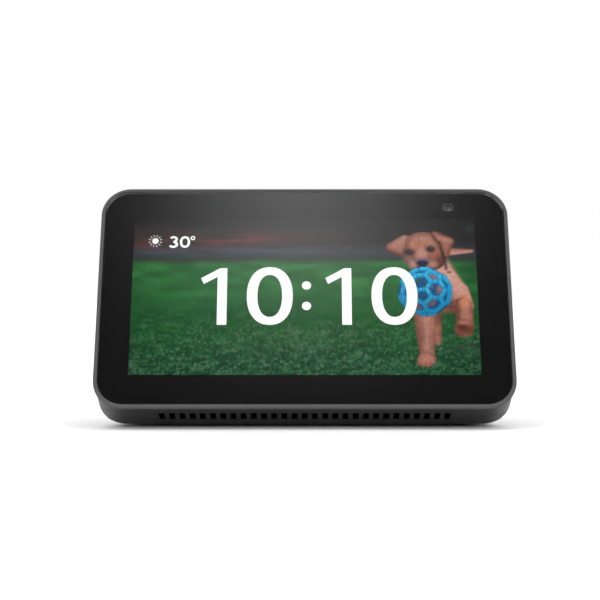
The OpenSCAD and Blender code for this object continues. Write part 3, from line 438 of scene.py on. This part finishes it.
def shaded(colour, x, u, half_x, half_u, strength, soft=1.8, turn=0.0):
    """A soft patch of one colour on the coat."""
    lay(colour, within(oval(x, u, half_x, half_u, turn), soft) * strength)


tail, across = limb((51.5, 61.2), (60.2, 61.5), 1.45, 0.6)
lay(fur(0.5 + 0.5 * across), within(tail, 0.6))
far_leg, across = limb((46.2, 37.0), (46.9, 25.8), 2.6, 1.4)
lay(fur(0.15 - 0.5 * across**2 - 0.5 * ease(U, 30, 36)), within(far_leg, 0.6))
trunk, _ = limb((48.4, 54.2), (52.4, 43.4), 3.9, 6.7)
lay(fur(rounded(trunk, 2.6) * 0.5 + 0.85 - 0.09 * (50 - U)), within(trunk, 0.5))
chest, _ = limb((45.6, 39.6), (52.4, 39.4), 3.0, 2.3)
lay(fur(-0.35 + 0.1 * (U - 38)), within(chest, 0.9))
shaded(light(82, 84, 40), 47.6, 37.0, 2.6, 0.9, 0.55, 1.4)
shaded(coat_shade, 51.8, 41.2, 3.4, 1.2, 0.7, 1.6, 24)
shaded(light(34, 38, 22), 53.4, 39.2, 2.6, 0.8, 0.6, 1.2, 12)
leg, across = limb((42.4, 37.4), (43.0, 21.2), 3.9, 2.6)
lay(fur(0.4 - 0.6 * across**2 - 0.25 * across - 0.25 * ease(U, 34, 38)), within(leg, 0.6))
shaded(coat_shade, 41.6, 29.0, 1.1, 5.0, 0.25, 1.6, 6)
shaded(coat_shade, 44.6, 25.0, 0.8, 4.6, 0.3, 1.4)
paw = np.minimum(oval(42.9, 18.8, 3.1, 2.9), oval(41.6, 17.3, 2.2, 1.1))
lay(fur(rounded(paw, 1.4) * 0.35 + 0.2), within(paw, 0.7))
shaded(light(204, 128, 100), 42.6, 18.6, 1.9, 0.9, 0.5)
for toe_x in (40.9, 42.5, 44.2):
    shaded(coat_shade, toe_x, 17.0, 0.2, 0.7, 0.6, 0.6)
upper_arm, across = limb((54.6, 44.6), (56.9, 39.6), 4.3, 3.2)
lay(fur(0.75 - 0.6 * across**2 - 0.45 * across), within(upper_arm, 0.6))
fore, across = limb((56.7, 39.8), (56.7, 31.6), 3.2, 3.0)
lay(fur(0.3 - 0.8 * across**2 - 0.3 * across), within(fore, 0.6))
shaded(light(222, 140, 100), 57.0, 41.6, 2.0, 3.0, 0.6)
shaded(light(190, 116, 86), 57.6, 35.0, 1.6, 2.6, 0.35)
shaded(coat_shade, 54.6, 37.0, 0.8, 3.4, 0.4, 1.4)
raised_paw = np.minimum(oval(56.3, 30.2, 3.4, 2.8, -6), oval(56.7, 31.8, 3.2, 2.6))
lay(fur(rounded(raised_paw, 1.5) * 0.5 - 0.1 - 0.12 * (31 - U)), within(raised_paw, 0.6))
shaded(light(88, 40, 22), 56.6, 30.6, 2.9, 1.7, 0.8, 1.6, -8)
shaded(light(56, 24, 16), 55.4, 31.4, 1.6, 0.8, 0.6, 1.0, -12)
shaded(light(150, 112, 84), 56.9, 27.9, 2.0, 0.4, 0.45, 0.8, 8)
shaded(coat_shade, 53.6, 41.4, 2.6, 0.5, 0.7, 1.2, 28)
nape, _ = limb((50.9, 57.6), (56.2, 46.8), 0.7, 1.1)
lay(coat_lit, within(nape, 1.8) * 0.6)
strap, _ = limb((50.4, 58.6), (50.9, 54.4), 0.7, 0.65)
lay(light(34, 34, 66), within(strap, 0.9) * 0.85)
shaded(light(18, 22, 26), 52.0, 52.9, 0.8, 0.45, 0.8, 0.5)

head = np.minimum(oval(43.4, 62.4, 8.0, 6.7, -10), oval(43.6, 58.0, 7.4, 4.7))
lay(fur(rounded(head, 2.6) * 0.7 - 0.02 + 0.07 * (U - 63)), within(head, 0.5))
left_ear = flap(((31.4, 63.0), (35.8, 60.4), (36.2, 66.0)), 1.9)
lay(fur(rounded(left_ear, 1.7) * 0.6 + 0.16 - 0.12 * (64 - U)), within(left_ear, 0.5))
shaded(coat_shade, 33.4, 60.2, 2.4, 0.6, 0.5, 1.4, -22)
fold, _ = limb((37.0, 66.4), (35.9, 59.0), 0.35, 0.8)
lay(coat_shade, within(fold, 1.2) * 0.75)
right_ear = flap(((47.2, 67.9), (50.9, 60.2), (52.4, 65.6)), 1.5)
lay(fur(rounded(right_ear, 1.6) * 0.6 - 0.04 - 0.03 * (64 - U)), within(right_ear, 0.5))
shaded(coat_lit, 51.2, 66.0, 2.0, 0.7, 0.35, 1.4, -18)
fold, _ = limb((46.0, 68.2), (48.9, 64.6), 0.25, 0.45)
lay(coat_shade * 0.5, within(fold, 0.6) * 0.9)
fold, _ = limb((48.9, 64.6), (50.3, 58.6), 0.45, 0.6)
lay(coat_shade * 0.5, within(fold, 0.7) * 0.9)
shaded(light(186, 108, 70), 47.0, 60.2, 1.5, 1.8, 0.35, 2.0, 20)
shaded(light(198, 120, 72), 41.0, 64.2, 2.6, 0.9, 0.5, 1.8, 10)
shaded(coat_shade, 41.3, 65.0, 0.2, 1.6, 0.35, 0.8)
shaded(light(150, 110, 112), 37.2, 58.2, 1.5, 1.9, 0.55, 1.8)
shaded(coat_shade, 48.4, 57.9, 1.0, 1.8, 0.5, 1.8)
shaded(coat_lit, 42.2, 60.2, 2.0, 2.2, 0.6, 2.2)
shaded(coat_lit, 38.9, 55.9, 1.3, 1.5, 0.6, 1.4)
shaded(coat_lit, 46.2, 55.9, 1.6, 1.3, 0.5, 1.6)
for eye_x, eye_u in ((37.9, 60.9), (45.5, 62.2)):
    shaded(light(70, 44, 40), eye_x, eye_u + 0.1, 1.9, 1.4, 0.8, 1.2)
    shaded(light(34, 32, 42), eye_x, eye_u, 1.25, 1.0, 1.0, 0.6)
    shaded(light(120, 124, 140), eye_x + 0.4, eye_u + 0.35, 0.26, 0.2, 0.5, 0.35)
shaded(light(112, 96, 118), 42.3, 57.7, 2.2, 0.9, 0.9, 0.9)
nose = np.minimum(oval(42.4, 56.5, 2.2, 1.2), oval(42.4, 55.7, 1.4, 1.2))
lay(light(22, 32, 54), within(nose, 0.5))
shaded(coat_shade * 0.7, 42.6, 54.2, 4.2, 0.5, 0.8, 0.8)

# The ball: a lattice of five- and six-sided holes on a sphere, the far half seen through the near.
ball_x, ball_u, ball_r = 43.1, 45.2, 9.9
golden = (1 + math.sqrt(5)) / 2
peaks = [Vector(p).normalized() for s in (-1, 1) for t in (-golden, golden)
         for p in ((0, s, t), (s, t, 0), (t, 0, s))]
ribs = []
for a in peaks:
    near = [b for b in peaks if 0.1 < (a - b).length < 1.2]
    ribs += [((2 * a + b) / 3, (a + 2 * b) / 3) for b in near if tuple(a) < tuple(b)]
    ribs += [((2 * a + b) / 3, (2 * a + c) / 3) for b in near for c in near
             if tuple(b) < tuple(c) and (b - c).length < 1.2]
ribs = [half for a, b in ribs for half in ((a, (a + b) / 2), ((a + b) / 2, b))]
rolled = Vector((0.16, 0.30, 1)).to_track_quat("Z", "Y").to_matrix()
ball = np.hypot(X - ball_x, U - ball_u) - ball_r
hollow = within(ball + 0.4, 0.5)
lay(light(30, 74, 110), hollow * (0.6 + 0.25 * drift(2, 2, 13)))
for front in (False, True):
    for start, end in ribs:
        a, b = rolled @ start.normalized(), rolled @ end.normalized()
        if (a.z + b.z > 0) == front:
            reach = ball_r - 0.85
            rib, across = limb(
                (ball_x + a.x * reach, ball_u + a.y * reach),
                (ball_x + b.x * reach, ball_u + b.y * reach),
                0.85 if front else 0.7,
                0.85 if front else 0.7,
            )
            glow = 1 - 0.35 * across**2 + 0.25 * (a.y + b.y) / 2
            tone = light(6, 152, 204) if front else light(6, 84, 140)
            lay(tone * glow[..., None], within(rib, 0.35))
            if front:
                shine, _ = limb(
                    (ball_x + a.x * reach - 0.1, ball_u + a.y * reach + 0.3),
                    (ball_x + b.x * reach - 0.1, ball_u + b.y * reach + 0.3),
                    0.12, 0.12,
                )
                lay(light(122, 224, 250), within(shine, 0.4) * ease(a.y + b.y + a.z + b.z, 0.2, 2) * 0.9)

points = [on_face(x, u, picture_w) for x, u in zip(X.ravel(), U.ravel())]
wide = columns + 1
cells = [(r * wide + c, r * wide + c + 1, (r + 1) * wide + c + 1, (r + 1) * wide + c)
         for r in range(rows) for c in range(columns)]
picture_finish, picture_shader = surface("lit_picture", 0.6)
picture_tree = picture_finish.node_tree
painted = picture_tree.nodes.new("ShaderNodeAttribute")
painted.attribute_name = "painted"
picture_shader.inputs["Base Color"].default_value = (0, 0, 0, 1)
picture_shader.inputs["Specular IOR Level"].default_value = 0.0
fine = eased(picture_tree, speckle(picture_finish, 0.5, stretch=(1, 0.4, 0.4)), 0.3, 0.7, 0.86, 1.14)
dither = picture_tree.nodes.new("ShaderNodeVectorMath")
dither.operation = "SCALE"
picture_tree.links.new(painted.outputs["Color"], dither.inputs[0])
picture_tree.links.new(fine, dither.inputs["Scale"])
picture_tree.links.new(dither.outputs[0], picture_shader.inputs["Emission Color"])
picture_shader.inputs["Emission Strength"].default_value = 1.0
screen_picture = new_piece("screen_picture", points, cells, picture_finish)
paint = screen_picture.data.attributes.new("painted", "FLOAT_COLOR", "POINT")
paint.data.foreach_set("color", np.dstack([picture, np.ones(X.shape)]).ravel())

# ---------------------------------------------------------------- clock and weather
# White figures that the panel lights over the picture: the time, and a sun beside the degrees.
# They are flat shapes a hair in front of the picture, all in one mesh.
lit_w = 1.355
white_finish, white_shader = surface("lit_white", 0.6)
white_shader.inputs["Base Color"].default_value = (0, 0, 0, 1)
white_shader.inputs["Specular IOR Level"].default_value = 0.0
white_cloud = speckle(white_finish, 1.0)
two_tone(white_finish, white_shader, white_cloud, (0.97, 0.98, 0.98), (1, 1, 1), "Emission Color")
white_shader.inputs["Emission Strength"].default_value = 1.15
figures = bmesh.new()


def lit_shape(outline):
    """A flat lit shape, from its outline anticlockwise in x and u."""
    figures.faces.new([figures.verts.new(on_face(x, u, lit_w)) for x, u in outline])


def lit_ring(x, u, outer, inner, start=0, end=360, square=2.0, steps=48):
    """A ring, or part of one, between two ovals given as half widths and half heights."""
    whole = end - start == 360
    turns = [math.radians(start + (end - start) * k / steps) for k in range(steps + (not whole))]
    rims = []
    for half_x, half_u in (outer, inner):
        rims.append([
            figures.verts.new(on_face(
                x + half_x * math.copysign(abs(math.cos(t)) ** (2 / square), math.cos(t)),
                u + half_u * math.copysign(abs(math.sin(t)) ** (2 / square), math.sin(t)),
                lit_w,
            ))
            for t in turns
        ])
    for k in range(steps):
        n = (k + 1) % len(turns)
        figures.faces.new([rims[1][k], rims[0][k], rims[0][n], rims[1][n]])


def lit_dot(x, u, r):
    """A round lit spot."""
    lit_shape([(x + r * math.cos(k * math.pi / 12), u + r * math.sin(k * math.pi / 12)) for k in range(24)])


# In the time, a 1 is a stem with a sloping flag, and a 0 is a ring a little squarer than an oval.
digit_low, digit_high, stem_wide = 32.1, 54.5, 3.45
for stem in (-31.2, 13.3):
    lit_shape([
        (stem, digit_low), (stem + stem_wide, digit_low), (stem + stem_wide, digit_high),
        (stem + 0.9, digit_high), (stem - 5.9, 50.5), (stem - 4.9, 48.2), (stem, 51.0),
    ])
for middle in (-12.45, 32.05):
    lit_ring(middle, 43.5, (8.2, 11.4), (4.4, 8.3), square=2.25, steps=72)
for dot_u in (39.5, 47.6):
    lit_dot(0.66, dot_u, 1.65)

# In the weather, the 3 is two part rings, and the 0 and the degree sign are whole ones.
lit_ring(-43.3, 65.1, (1.85, 2.35), (0.98, 1.5), square=2.2)
lit_ring(-40.45, 66.7, (0.85, 0.85), (0.42, 0.42))
lit_ring(-47.4, 66.2, (1.5, 1.27), (0.6, 0.5), start=-90, end=155)
lit_ring(-47.5, 64.1, (1.75, 1.4), (0.8, 0.55), start=-155, end=90)
sun_x, sun_u, rays = -54.0, 65.5, 12
ray_from, ray_to = 1.65, 2.5
half_in, half_out = 0.1, 0.08
lit_dot(sun_x, sun_u, 1.15)
for k in range(rays):
    turn = 2 * math.pi * (k + 0.5) / rays
    out_x, out_u = math.cos(turn), math.sin(turn)
    lit_shape([
        (sun_x + out_x * r - out_u * side, sun_u + out_u * r + out_x * side)
        for r, side in ((ray_from, -half_in), (ray_to, -half_out), (ray_to, half_out), (ray_from, half_in))
    ])
figure_mesh = bpy.data.meshes.new("clock_figures")
figures.to_mesh(figure_mesh)
figures.free()
figure_mesh.materials.append(white_finish)
clock_figures = bpy.data.objects.new("clock_figures", figure_mesh)
scene.collection.objects.link(clock_figures)
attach(clock_figures, "root")

# ---------------------------------------------------------------- display stack
# Behind the picture: the panel, its light guide in a folded steel tray, the glue films that hold
# them to the glass, and the ribbon to the main board.
give(grained("panel_glass", (0.03, 0.035, 0.04), 0.25, 0.3, 0.002), "lcd_panel")
give(grained("light_guide", (0.78, 0.79, 0.74), 0.5, 0.5, 0.004, spread=0.03), "backlight")
foam_finish = grained("black_foam_tape", (0.02, 0.02, 0.021), 0.9, 0.3, 0.03, spread=0.25)
give(foam_finish, "glass_adhesive", "mic_seals", "speaker_gasket")
clear_finish, clear_shader = surface("clear_glue", 0.1)
clear_shader.inputs["Transmission Weight"].default_value = 0.9
clear_shader.inputs["IOR"].default_value = 1.47
two_tone(clear_finish, clear_shader, speckle(clear_finish, 3), (0.88, 0.9, 0.92), (0.95, 0.96, 0.97))
give(clear_finish, "optical_adhesive")

steel = (0.52, 0.53, 0.55)
steel_finish = grained("rolled_steel", steel, 0.32, 0.12, 0.002, 0.08, metallic=1.0, stretch=(0.1, 1, 1))
give(steel_finish, "display_tray", "shield_can", "dome_switches", "microphones", "usb_port")
give(steel_finish, "top_plate", "yoke")

film_finish, film_shader = surface("polyimide_ribbon", 0.35)
track_wave = film_finish.node_tree.nodes.new("ShaderNodeTexWave")
track_wave.inputs["Scale"].default_value = 260
film_place = film_finish.node_tree.nodes.new("ShaderNodeTexCoord")
film_finish.node_tree.links.new(film_place.outputs["Object"], track_wave.inputs["Vector"])
two_tone(film_finish, film_shader, track_wave.outputs["Fac"], (0.42, 0.17, 0.03), (0.62, 0.30, 0.07))
give(film_finish, "display_flex", "camera_flex", "button_flex")

# ---------------------------------------------------------------- mid frame
# A die-cast alloy plate that stiffens the front and carries the main board on six posts. Screws
# hold it to the front frame, and the heat spreader is of the same alloy.
alloy_finish = grained("cast_alloy", (0.46, 0.47, 0.49), 0.5, 0.5, 0.012, 0.1, metallic=1.0)
give(alloy_finish, "mid_frame", "heat_spreader")

# ---------------------------------------------------------------- camera and shutter
# A small black barrel with a coated lens on its own board. A white blade, moved by the knob on
# the top edge, slides in front of it.
component_finish = grained("black_component", (0.05, 0.05, 0.053), 0.45, 0.15, 0.006)
give(component_finish, "shutter_guide", "processor", "power_jack", "port_cable")
give(grained("camera_barrel", (0.075, 0.075, 0.077), 0.6, 0.15, 0.006), "camera_module")
lens_finish, lens_shader = surface("coated_lens", 0.22)
two_tone(lens_finish, lens_shader, speckle(lens_finish, 1.2), (0.06, 0.062, 0.08), (0.085, 0.08, 0.09))
give(lens_finish, "camera_lens")
give(grained("shutter_white", (0.62, 0.62, 0.6), 0.55, 0.2, 0.004, spread=0.04), "shutter_blade")

# ---------------------------------------------------------------- buttons
# Three dished caps in the top of the band, moulded in a charcoal a shade lighter, with printed
# marks: less, more, and a struck-out circle that shuts the microphones off.
cap_finish = grained("cap_plastic", (0.017, 0.0172, 0.018), 0.38, 0.14, 0.008, spread=0.05)
give(cap_finish, "volume_down_button", "volume_up_button", "mic_button", "shutter_slider")
mark_finish = grained("pale_print", (0.42, 0.42, 0.42), 0.6, 0.2, 0.003)
button_w, band_top, proud, dish_r, dish_edge = 9.5, 86.3, 0.4, 60.0, 3.8
dish_depth = dish_r - math.sqrt(dish_r**2 - dish_edge**2)
mark_thick = 0.03


def mark(name, body, node, outlines):
    """Printed marks on a cap's dish, from flat outlines round the cap's middle."""
    middle = sum(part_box(node), Vector()).x / 2 / mm
    points, faces = [], []
    for outline in outlines:
        count = len(outline)
        for lift in (0.004, mark_thick):
            for a, b in outline:
                sunk = dish_depth - (a * a + b * b) / (2 * dish_r)
                points.append(on_face(middle + a, band_top + proud - sunk + lift, button_w + b))
        first = len(points) - 2 * count
        faces.append([first + k for k in range(count)])
        faces.append([first + 2 * count - 1 - k for k in range(count)])
        faces += [(first + k, first + count + k, first + count + (k + 1) % count, first + (k + 1) % count)
                  for k in range(count)]
    made = new_piece(name, points, faces, mark_finish, body)


def bar(length, width, turn=0.0):
    """The corners of a bar round its middle, anticlockwise."""
    c, s = math.cos(turn), math.sin(turn)
    half = [(a * length / 2, b * width / 2) for a, b in ((-1, -1), (1, -1), (1, 1), (-1, 1))]
    return [(a * c - b * s, a * s + b * c) for a, b in half]


def arc_band(radius, width, start, end, steps=10):
    """The outline of part of a ring, out along its rim and back along its hole."""
    turns = [start + (end - start) * k / steps for k in range(steps + 1)]
    outer = [((radius + width / 2) * math.cos(t), (radius + width / 2) * math.sin(t)) for t in turns]
    inner = [((radius - width / 2) * math.cos(t), (radius - width / 2) * math.sin(t)) for t in turns]
    return outer + inner[::-1]


stroke, bar_long = 0.35, 2.4
mark("mark_less", "volume_down", "volume_down_button", [bar(bar_long, stroke)])
half_bar = (bar_long - stroke) / 2
mark("mark_more", "volume_up", "volume_up_button",
     [bar(bar_long, stroke)]
     + [[(a, b + s * (half_bar / 2 + stroke / 2)) for a, b in bar(stroke, half_bar)] for s in (-1, 1)])
slash, slash_long, mute_r = math.radians(45), 2.3, 1.3
mark("mark_mute", "mic_mute", "mic_button",
     [bar(slash_long - 2 * stroke, stroke, slash)]
     + [arc_band(mute_r, stroke, start + 0.01, start + math.pi / 2 - 0.01)
        for start in (k * math.pi / 2 + slash for k in range(4))])

# ---------------------------------------------------------------- boards
# Green laminate boards with copper tracks under the lacquer, and ivory nylon connectors. Plated
# screws hold them, and the foil antennas and the leads are bare copper.
board_finish, board_shader = surface("green_board", 0.35)
board_tree = board_finish.node_tree
tracks = board_tree.nodes.new("ShaderNodeTexBrick")
tracks.inputs["Scale"].default_value = 160
tracks.inputs["Color1"].default_value = (0.012, 0.075, 0.032, 1)
tracks.inputs["Color2"].default_value = (0.010, 0.060, 0.026, 1)
tracks.inputs["Mortar"].default_value = (0.03, 0.13, 0.05, 1)
tracks.inputs["Mortar Size"].default_value = 0.035
board_place = board_tree.nodes.new("ShaderNodeTexCoord")
board_tree.links.new(board_place.outputs["Object"], tracks.inputs["Vector"])
board_tree.links.new(tracks.outputs["Color"], board_shader.inputs["Base Color"])
dented(board_finish, board_shader, tracks.outputs["Fac"], 0.02)
give(board_finish, "main_board", "camera_board", "button_board", "port_board")
give(grained("connector_nylon", (0.72, 0.68, 0.58), 0.5, 0.3, 0.006, spread=0.05), "board_connectors")
give(grained("thermal_pad", (0.32, 0.42, 0.52), 0.85, 0.6, 0.02), "thermal_pad")
zinc_finish = grained("zinc_screw", (0.42, 0.42, 0.43), 0.35, 0.2, 0.004, 0.12, metallic=1.0)
give(zinc_finish, "frame_screws", "board_screws", "base_screws", "speaker_screws", "power_jack_pin")
copper_finish = grained("bare_copper", (0.72, 0.34, 0.18), 0.3, 0.2, 0.003, 0.1, metallic=1.0)
give(copper_finish, "wifi_antennas", "voice_coil", "speaker_leads")

# ---------------------------------------------------------------- rear shell and base
# A black moulding that plugs into the frame's band, closed below by a plate that six screws hold.
# The rubber foot is stuck in the plate's recess and hides the screws.
shell_finish = grained("black_plastic", (0.026, 0.026, 0.028), 0.5, 0.2, 0.012, spread=0.08)
give(shell_finish, "rear_shell", "base_plate", "speaker_box")
give(grained("black_bezel", (0.022, 0.022, 0.023), 0.38, 0.15, 0.006, spread=0.06), "port_bezel")
give(grained("foot_rubber", (0.012, 0.012, 0.013), 0.85, 0.25, 0.02, spread=0.2), "rubber_foot")

# ---------------------------------------------------------------- knitted sleeve
# A charcoal knit, cut to shape, pulled tight over the shell and glued. Its front edge is tucked
# into the gap behind the band, and its lower edge goes under to the base plate.
sleeve_low, sleeve_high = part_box("fabric_cover")
rear_y = sleeve_high.y / mm
base_z = sleeve_low.z / mm
body_half = -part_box("front_frame")[0].x / mm
face_long, corner_r, band_inset = 86.8, 10.7, 0.5
sleeve_w = 16.45  # its front edge, behind the face

# The back stands upright at first and then leans forward on an arc. Its corners grow tighter and
# its sides draw in on the way up to the crest.
rear_half, rear_corner = body_half - 9, 22.0
upright, crest_corner, crest_in = 22.0, 14.0, 5.0
crest_w = 17.0
crest = on_face(0, band_top, crest_w)
crest_y, crest_z = crest.y / mm, crest.z / mm
rise, run = crest_z - upright, rear_y - crest_y
back_r = (run * run + rise * rise) / (2 * run)
knit_thick = 0.7
foot_y, foot_z = face_foot.y / mm, face_foot.z / mm


def sleeve_ring(z, tuck, steps=14):
    """The sleeve's outline at a height, moved in by tuck, as points round one side to the other."""
    u = (z - foot_z + sleeve_w * math.sin(lean)) / math.cos(lean)
    y0 = foot_y + u * math.sin(lean) + sleeve_w * math.cos(lean)
    past = max(0, corner_r - u, u - (face_long - corner_r))
    inner_r = corner_r - band_inset - tuck
    front = body_half - corner_r + math.sqrt(max(0, inner_r**2 - past**2))
    up = max(0, (z - upright) / rise)
    y1 = rear_y - back_r + math.sqrt((back_r - tuck) ** 2 - max(0, z - upright) ** 2)
    half = min(front, rear_half - crest_in * up**2 - tuck)
    r = min(rear_corner + (crest_corner - rear_corner) * up - tuck, 0.7 * (y1 - y0))
    to_x, to_y = front - half + r, y0 - y1 + r
    start = math.atan2(to_y, to_x) + math.acos(r / math.hypot(to_x, to_y))
    turns = [start + (math.pi / 2 - start) * k / steps for k in range(steps + 1)]
    bend = [(half - r + r * math.cos(t), y1 - r + r * math.sin(t)) for t in turns]
    side = [(front + (bend[0][0] - front) * k / 8, y0 + (bend[0][1] - y0) * k / 8) for k in range(8)]
    back_half = half - r
    back = [(back_half - 2 * back_half * k / 16, y1) for k in range(1, 16)]
    right = side + bend
    return [(x, y, z) for x, y in right + back + [(-x, y) for x, y in reversed(right)]]


hem_r = 2.0
levels = [(base_z + hem_r * (1 - math.cos(t)), hem_r * (1 - math.sin(t)))
          for t in (math.radians(a) for a in range(0, 91, 15))]
above = np.linspace(base_z + hem_r, crest_z - 0.3, 46)[1:]
levels += [(float(z), 0.0) for z in above]
rings = [sleeve_ring(z, knit_thick / 2 + tuck) for z, tuck in levels]
plate_y0, plate_y1 = (c.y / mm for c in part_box("base_plate"))
plate_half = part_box("base_plate")[1].x / mm
hem_gap = 0.3
hem_x, hem_y0, hem_y1 = plate_half + hem_gap, plate_y0 - hem_gap, plate_y1 + hem_gap
hem_z = base_z + knit_thick / 2
hem = [(max(-hem_x, min(hem_x, x)), max(hem_y0, min(hem_y1, y)), hem_z) for x, y, z in rings[0]]
rings[0] = [(x, y, z + knit_thick / 2) for x, y, z in rings[0]]
rings = [hem] + rings
count = len(rings[0])
sleeve_points = [Vector(p) * mm for ring in rings for p in ring]
sleeve_faces = [(r * count + k, r * count + k + 1, (r + 1) * count + k + 1, (r + 1) * count + k)
                for r in range(len(rings) - 1) for k in range(count - 1)]

knit_finish, knit_shader = surface("charcoal_knit", 0.9)
knit_tree = knit_finish.node_tree
stitch_wide, stitch_high = 0.9, 0.75
loops = knit_tree.nodes.new("ShaderNodeUVMap")
loops.uv_map = "knit"
parts = knit_tree.nodes.new("ShaderNodeSeparateXYZ")
knit_tree.links.new(loops.outputs["UV"], parts.inputs[0])
turned = sums(knit_tree, "MULTIPLY", parts.outputs["X"], 2 * math.pi / stitch_wide)
ribbed = sums(knit_tree, "ABSOLUTE", sums(knit_tree, "SINE", turned))
leaning = sums(knit_tree, "ADD", parts.outputs["Y"], sums(knit_tree, "MULTIPLY", ribbed, 0.35))
row_turn = sums(knit_tree, "MULTIPLY", leaning, 2 * math.pi / stitch_high)
row = sums(knit_tree, "MULTIPLY_ADD", sums(knit_tree, "SINE", row_turn), 0.5, 0.5)
wale = sums(knit_tree, "POWER", ribbed, 0.6)
stitch = sums(knit_tree, "MULTIPLY", row, wale)
fuzz = sums(knit_tree, "MULTIPLY_ADD", speckle(knit_finish, 0.12), 0.35, stitch)
yarn_dark, yarn_pale = (0.010, 0.010, 0.011), (0.056, 0.057, 0.060)
two_tone(knit_finish, knit_shader, sums(knit_tree, "MULTIPLY_ADD", fuzz, 0.5, 0.15), yarn_dark, yarn_pale)
knit_shader.inputs["Sheen Weight"].default_value = 0.4
knit_shader.inputs["Sheen Roughness"].default_value = 0.5
dented(knit_finish, knit_shader, fuzz, 0.25)
knit_sleeve = new_piece("knit_sleeve", sleeve_points, sleeve_faces, knit_finish)
knit_uv = knit_sleeve.data.uv_layers.new(name="knit")
around = [0.0]
waist = rings[30]
for k in range(1, count):
    around.append(around[-1] + math.dist(waist[k], waist[k - 1]))
upward = [0.0]
for r in range(1, len(rings)):
    upward.append(upward[-1] + math.dist(rings[r][count // 2], rings[r - 1][count // 2]))
for loop in knit_sleeve.data.loops:
    r, k = divmod(loop.vertex_index, count)
    knit_uv.data[loop.index].uv = (around[k], upward[r])

# The knit is cut away round the port bezel.
bezel_low, bezel_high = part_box("port_bezel")
cut_gap = 0.4 * mm
cut = bmesh.new()
cut.from_mesh(knit_sleeve.data)
for corner, out in ((bezel_low, -1), (bezel_high, 1)):
    for axis in (0, 2):
        normal = Vector((0, 0, 0))
        normal[axis] = out
        bmesh.ops.bisect_plane(
            cut, geom=cut.verts[:] + cut.edges[:] + cut.faces[:],
            plane_co=corner + normal * cut_gap, plane_no=normal,
        )
opening = []
for face in cut.faces:
    middle = face.calc_center_median()
    within_bezel = all(bezel_low[k] - cut_gap < middle[k] < bezel_high[k] + cut_gap for k in (0, 2))
    if middle.y > 0 and within_bezel:
        opening.append(face)
bmesh.ops.delete(cut, geom=opening, context="FACES")
cut.to_mesh(knit_sleeve.data)
cut.free()
thick = knit_sleeve.modifiers.new("knit", "SOLIDIFY")
thick.thickness = knit_thick * mm
thick.offset = 0
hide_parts("fabric_cover")
for polygon in knit_sleeve.data.polygons:
    polygon.use_smooth = True

# ---------------------------------------------------------------- loudspeaker
# A 44 mm full-range driver facing down: pressed basket, rubber surround, paper cone, cloth
# spider, and a ferrite ring magnet between steel plates.
give(grained("painted_basket", (0.10, 0.10, 0.105), 0.5, 0.3, 0.006), "speaker_frame")
give(grained("butyl_surround", (0.014, 0.014, 0.015), 0.6, 0.3, 0.006), "speaker_surround")
give(grained("pressed_paper", (0.035, 0.030, 0.026), 0.9, 0.5, 0.03, spread=0.25), "speaker_cone", "dust_cap")
give(grained("dipped_cloth", (0.55, 0.36, 0.09), 0.8, 0.35, 0.05, spread=0.2), "spider")
give(grained("ferrite", (0.045, 0.045, 0.048), 0.6, 0.4, 0.02), "magnet")
